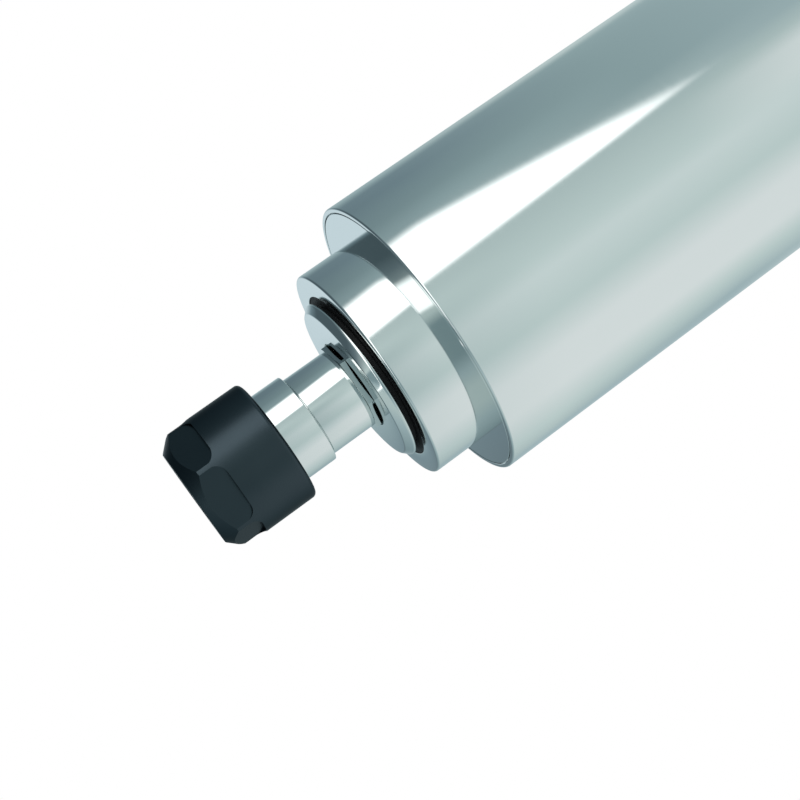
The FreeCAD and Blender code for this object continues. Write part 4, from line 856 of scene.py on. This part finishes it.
class SPINDLE_OT_connector(bpy.types.Operator):
    """Build the connector inlet: shell, insert and pins"""
    bl_idname = "spindle.connector"
    bl_label = "Connector"

    def sleeve(self, size, bore, bottom):
        """Return the threaded shell with its flange."""
        face = high("rear_cap").z
        top = high("connector_shell").z
        flange_top = face + size.connector_flange_height
        root = size.connector_radius - size.thread_depth
        outline = [(bore, top, size.connector_edge), (root, top)]
        crest = top - size.thread_pitch
        while crest > flange_top + size.thread_pitch:
            outline += [(size.connector_radius, crest), (root, crest - size.thread_pitch / 2)]
            crest -= size.thread_pitch
        outline += [(root, flange_top), (size.connector_flange, flange_top, size.connector_flange_edge),
                    (size.connector_flange, face), (size.connector_neck, face),
                    (size.connector_neck, bottom), (bore, bottom)]
        return spun(outline, MIDDLE_STEPS)

    def pins(self, size):
        """Return the contact pins."""
        top = high("connector_pins").z
        end = low("connector_pins").z
        outline = [(0, end), (size.pin_radius, end), (size.pin_radius, top, size.pin_tip), (0, top)]
        step = 2 * math.pi / size.pins
        return joined([moved(spun(outline, SMALL_STEPS), x=size.pin_circle, turn=(i + 0.5) * step)
                       for i in range(size.pins)])

    def execute(self, context):
        size = context.scene.spindle_rear
        bottom = low("connector_shell").z
        bore = size.connector_radius - size.connector_wall
        inner = bore - FIT_GAP
        top = high("connector_insert").z
        core = spun([(0, bottom), (inner, bottom), (inner, top, size.connector_edge), (0, top)], SMALL_STEPS)
        for name, shape, build, node in (
                ("connector_sleeve", self.sleeve(size, bore, bottom), nickel_plated_brass, "connector_shell"),
                ("connector_core", core, black_insulator, "connector_insert"),
                ("contact_pins", self.pins(size), gold_plated_pin, "connector_pins")):
            piece(name, moved(shape, y=size.connector_y), finish(build), node)
        return {"FINISHED"}


INSIDE_FINISHES = [
    (turned_aluminium, ["cooling_cylinder", "rear_housing"]),
    (black_rubber, ["liner_o_rings", "rear_cap_o_ring"]),
    (nickel_plated_brass, ["connector_nut"]),
    (lamination_steel, ["stator_core", "rotor_core"]),
    (enamelled_copper, ["stator_windings"]),
    (cast_aluminium, ["rotor_cage"]),
    (black_oxide_screw, ["front_retainer_screws", "rear_cover_screws"]),
    (phenolic_cage, ["front_cages", "rear_cages"]),
    (bearing_steel, ["front_outer_rings", "front_outer_spacer", "front_inner_rings", "front_inner_spacer",
                     "front_balls", "rear_outer_rings", "rear_outer_spacer", "rear_inner_rings",
                     "rear_inner_spacer", "rear_balls"]),
    (turned_steel, ["front_retainer", "preload_spring", "rear_cover", "balance_rings", "rear_locknut"]),
]


class SPINDLE_OT_inside_finishes(bpy.types.Operator):
    """Give the sealed pieces inside the body their materials"""
    bl_idname = "spindle.inside_finishes"
    bl_label = "Inside finishes"

    def execute(self, context):
        for build, nodes in INSIDE_FINISHES:
            material = finish(build)
            for node in nodes:
                for slot in frame["nodes"][node].material_slots:
                    slot.material = material
        return {"FINISHED"}


# Tones of the studio walls that polished steel mirrors, from dark to light
INK, LEAD, SLATE, STONE, ASH = "#54646b", "#6f7f86", "#7c919a", "#8ca2a7", "#9db3b7"
MIST, PALE, CHALK, MILK, SNOW = "#afc3c8", "#c6d6d6", "#d6e5e4", "#e4efef", "#f5f9fa"
FROST = "#d9e9f0"
# Walls by slope, which is height over reach: each has its tones by direction about the axis, in degrees.
WALLS = [
    (-0.24, [(-180, INK), (-161, LEAD), (-103, CHALK), (-92, STONE), (-54, STONE), (-38, MIST), (-19, PALE),
             (3, PALE), (27, MIST), (61, STONE), (82, LEAD), (86, SLATE), (88, ASH), (93, FROST),
             (104, FROST), (118, SLATE), (130, INK), (180, INK)]),
    (0.25, [(-180, STONE), (-166, ASH), (-115, PALE), (-89, CHALK), (-77, MILK), (-50, CHALK), (-25, SNOW),
            (5, SNOW), (36, CHALK), (49, PALE), (61, MIST), (95, MIST), (118, ASH), (132, SLATE),
            (150, SLATE), (180, STONE)]),
    (0.46, [(-180, ASH), (-150, ASH), (-115, PALE), (-89, CHALK), (-77, MILK), (-51, CHALK), (-25, SNOW),
            (5, SNOW), (24, CHALK), (49, MIST), (61, MIST), (118, PALE), (132, ASH), (180, ASH)]),
    (0.66, [(-180, MIST), (-132, MIST), (-119, PALE), (-107, SNOW), (-90, SNOW), (-78, MILK), (-50, CHALK),
            (-27, SNOW), (0, SNOW), (25, CHALK), (50, PALE), (100, PALE), (140, MIST), (180, MIST)]),
    (1.3, [(-180, SNOW), (180, SNOW)]),
]
# Edges of the softbox about the axis, each as its direction at slope 0 and the change per unit of slope
BOX_LEFT_ABOVE = (-180.5, 107.5)
BOX_LEFT_BELOW = (-151.7, -33.3)
BOX_RIGHT = (-114.7, -26.0)
LEFT_SOFTNESS = 5.0        # degrees
RIGHT_SOFTNESS = 2.5
BOX_STRENGTH = 2.0
BOX_FADE = (0.38, 0.52)    # slopes between which the softbox fades to its weaker top
BOX_TOP = 0.4              # strength of that top against the rest
FLOOR_Z = -0.35
FLOOR_RADIUS = 0.8
FLOOR_STEPS = 128
# Place and axes of the camera, fitted to the edges in the photograph
CAMERA_PLACE = (0.0, -0.312611, -0.071421)
CAMERA_RIGHT = (0.581287, -0.168809, 0.795996)
CAMERA_UP = (-0.813091, -0.082708, 0.576231)
CAMERA_BACK = (-0.031438, -0.982172, -0.185335)
CAMERA_LENS = 56.242
CAMERA_SENSOR = 36.0


class SPINDLE_OT_studio(bpy.types.Operator):
    """Build the pale floor, the surrounding light and the camera"""
    bl_idname = "spindle.studio"
    bl_label = "Studio"

    def tones(self, tree, place, stops):
        """Return the tone of the walls at a direction, from a list of directions and colours."""
        ramp = add(tree, "ShaderNodeValToRGB", {0: place})
        elements = ramp.color_ramp.elements
        while len(elements) < len(stops):
            elements.new(0.5)
        for element, (turn, tone) in zip(elements, stops):
            element.position = (turn + 180) / 360
        for element, (turn, tone) in zip(elements, stops):
            element.color = linear(tone)
        return ramp.outputs["Color"]

    def past(self, tree, value, limit, softness):
        """Return 0 below a limit and 1 above it, with a soft step."""
        over = add(tree, "ShaderNodeMath", {0: value, 1: limit}, operation="SUBTRACT")
        ends = {"Value": over, "From Min": -softness, "From Max": softness}
        return add(tree, "ShaderNodeMapRange", ends, interpolation_type="SMOOTHSTEP")

    def softbox(self, tree, degrees, slope):
        """Return 1 inside the softbox and 0 outside it."""
        above, below, right = [add(tree, "ShaderNodeMath", {0: slope, 1: line[1], 2: line[0]},
                                   operation="MULTIPLY_ADD")
                               for line in (BOX_LEFT_ABOVE, BOX_LEFT_BELOW, BOX_RIGHT)]
        left = add(tree, "ShaderNodeMath", {0: above, 1: below}, operation="MAXIMUM")
        sides = {0: self.past(tree, degrees, left, LEFT_SOFTNESS),
                 1: self.past(tree, right, degrees, RIGHT_SOFTNESS)}
        inside = add(tree, "ShaderNodeMath", sides, operation="MULTIPLY")
        fade = {"Value": slope, "From Min": BOX_FADE[0], "From Max": BOX_FADE[1], "To Min": 1.0,
                "To Max": BOX_TOP}
        top = add(tree, "ShaderNodeMapRange", fade)
        return add(tree, "ShaderNodeMath", {0: inside, 1: top}, operation="MULTIPLY")

    def world(self, scene):
        """Show white to the camera, and the walls and the softbox of the studio to everything else."""
        world = bpy.data.worlds.new("studio")
        scene.world = world
        world.use_nodes = True
        tree = world.node_tree
        tree.nodes.clear()
        ray = add(tree, "ShaderNodeTexCoord").outputs["Generated"]
        parts = add(tree, "ShaderNodeSeparateXYZ", {0: ray}).outputs
        turn = add(tree, "ShaderNodeMath", {0: parts["Y"], 1: parts["X"]}, operation="ARCTAN2")
        degrees = add(tree, "ShaderNodeMath", {0: turn}, operation="DEGREES")
        place = add(tree, "ShaderNodeMapRange", {"Value": degrees, "From Min": -180.0, "From Max": 180.0})
        level = add(tree, "ShaderNodeVectorMath", {0: ray, 1: (1, 1, 0)}, operation="MULTIPLY")
        reach = add(tree, "ShaderNodeVectorMath", {0: level}, operation="LENGTH")
        slope = add(tree, "ShaderNodeMath", {0: parts["Z"], 1: reach}, operation="DIVIDE")
        lowest, stops = WALLS[0]
        tone = self.tones(tree, place, stops)
        for height, stops in WALLS[1:]:
            rise = {"Value": slope, "From Min": lowest, "From Max": height}
            mixed = {"Factor": add(tree, "ShaderNodeMapRange", rise), FIRST: tone,
                     SECOND: self.tones(tree, place, stops)}
            tone = add(tree, "ShaderNodeMix", mixed, data_type="RGBA")
            lowest = height
        lit = {"Factor": self.softbox(tree, degrees, slope), FIRST: tone, SECOND: [BOX_STRENGTH] * 3 + [1]}
        tone = add(tree, "ShaderNodeMix", lit, data_type="RGBA")
        seen = add(tree, "ShaderNodeLightPath").outputs["Is Camera Ray"]
        either = {"Factor": seen, FIRST: tone, SECOND: (1, 1, 1, 1)}
        shown = add(tree, "ShaderNodeMix", either, data_type="RGBA")
        light = add(tree, "ShaderNodeBackground", {"Color": shown, "Strength": 1.0})
        add(tree, "ShaderNodeOutputWorld", {"Surface": light})

    def floor(self, scene):
        """Lay a round pale floor under the nose. Steel doesn't mirror it."""
        bm = bmesh.new()
        bmesh.ops.create_circle(bm, cap_ends=True, segments=FLOOR_STEPS, radius=FLOOR_RADIUS,
                                matrix=Matrix.Translation((0, 0, FLOOR_Z)))
        mesh = bpy.data.meshes.new("floor")
        bm.to_mesh(mesh)
        bm.free()
        mesh.materials.append(finish(painted_board))
        floor = bpy.data.objects.new("floor", mesh)
        floor.visible_glossy = False
        scene.collection.objects.link(floor)

    def camera(self, scene):
        """Set the camera where the photograph was taken from."""
        data = bpy.data.cameras.new("camera")
        data.lens = CAMERA_LENS
        data.sensor_width = CAMERA_SENSOR
        data.clip_start = 10 * MM
        camera = bpy.data.objects.new("camera", data)
        columns = Matrix((CAMERA_RIGHT, CAMERA_UP, CAMERA_BACK)).transposed()
        camera.matrix_world = Matrix.Translation(CAMERA_PLACE) @ columns.to_4x4()
        scene.collection.objects.link(camera)
        scene.camera = camera

    def execute(self, context):
        scene = context.scene
        scene.view_settings.view_transform = "Standard"
        self.world(scene)
        self.floor(scene)
        self.camera(scene)
        return {"FINISHED"}


PIECE_OPERATORS = [SPINDLE_OT_studio, SPINDLE_OT_outer_jacket, SPINDLE_OT_front_housing, SPINDLE_OT_slinger,
                   SPINDLE_OT_shaft, SPINDLE_OT_collet, SPINDLE_OT_clamping_nut, SPINDLE_OT_rear_cap,
                   SPINDLE_OT_water_nipples, SPINDLE_OT_connector, SPINDLE_OT_inside_finishes]
SIZE_GROUPS = {"spindle_body": SpindleBodySizes, "spindle_shaft": SpindleShaftSizes,
               "spindle_clamp": SpindleClampSizes, "spindle_rear": SpindleRearSizes,
               "spindle_colours": SpindleColours}


class SPINDLE_PT_pieces(bpy.types.Panel):
    """Lists the pieces of the spindle, each with a button that builds it"""
    bl_idname = "SPINDLE_PT_pieces"
    bl_label = "Motor spindle"
    bl_space_type = "VIEW_3D"
    bl_region_type = "UI"
    bl_category = "Spindle"

    def draw(self, context):
        for operator in PIECE_OPERATORS:
            self.layout.operator(operator.bl_idname)


def register():
    """Register the sizes, the operators and the panel."""
    for group in SIZE_GROUPS.values():
        bpy.utils.register_class(group)
    for name, group in SIZE_GROUPS.items():
        setattr(bpy.types.Scene, name, PointerProperty(type=group))
    for operator in PIECE_OPERATORS:
        bpy.utils.register_class(operator)
    bpy.utils.register_class(SPINDLE_PT_pieces)


def unregister():
    """Take away what register added."""
    bpy.utils.unregister_class(SPINDLE_PT_pieces)
    for operator in reversed(PIECE_OPERATORS):
        bpy.utils.unregister_class(operator)
    for name in SIZE_GROUPS:
        delattr(bpy.types.Scene, name)
    for group in SIZE_GROUPS.values():
        bpy.utils.unregister_class(group)


def main():
    """Build every piece and the studio."""
    register()
    for operator in PIECE_OPERATORS:
        group, name = operator.bl_idname.split(".")
        getattr(getattr(bpy.ops, group), name)()


if __name__ == "__main__":
    main()
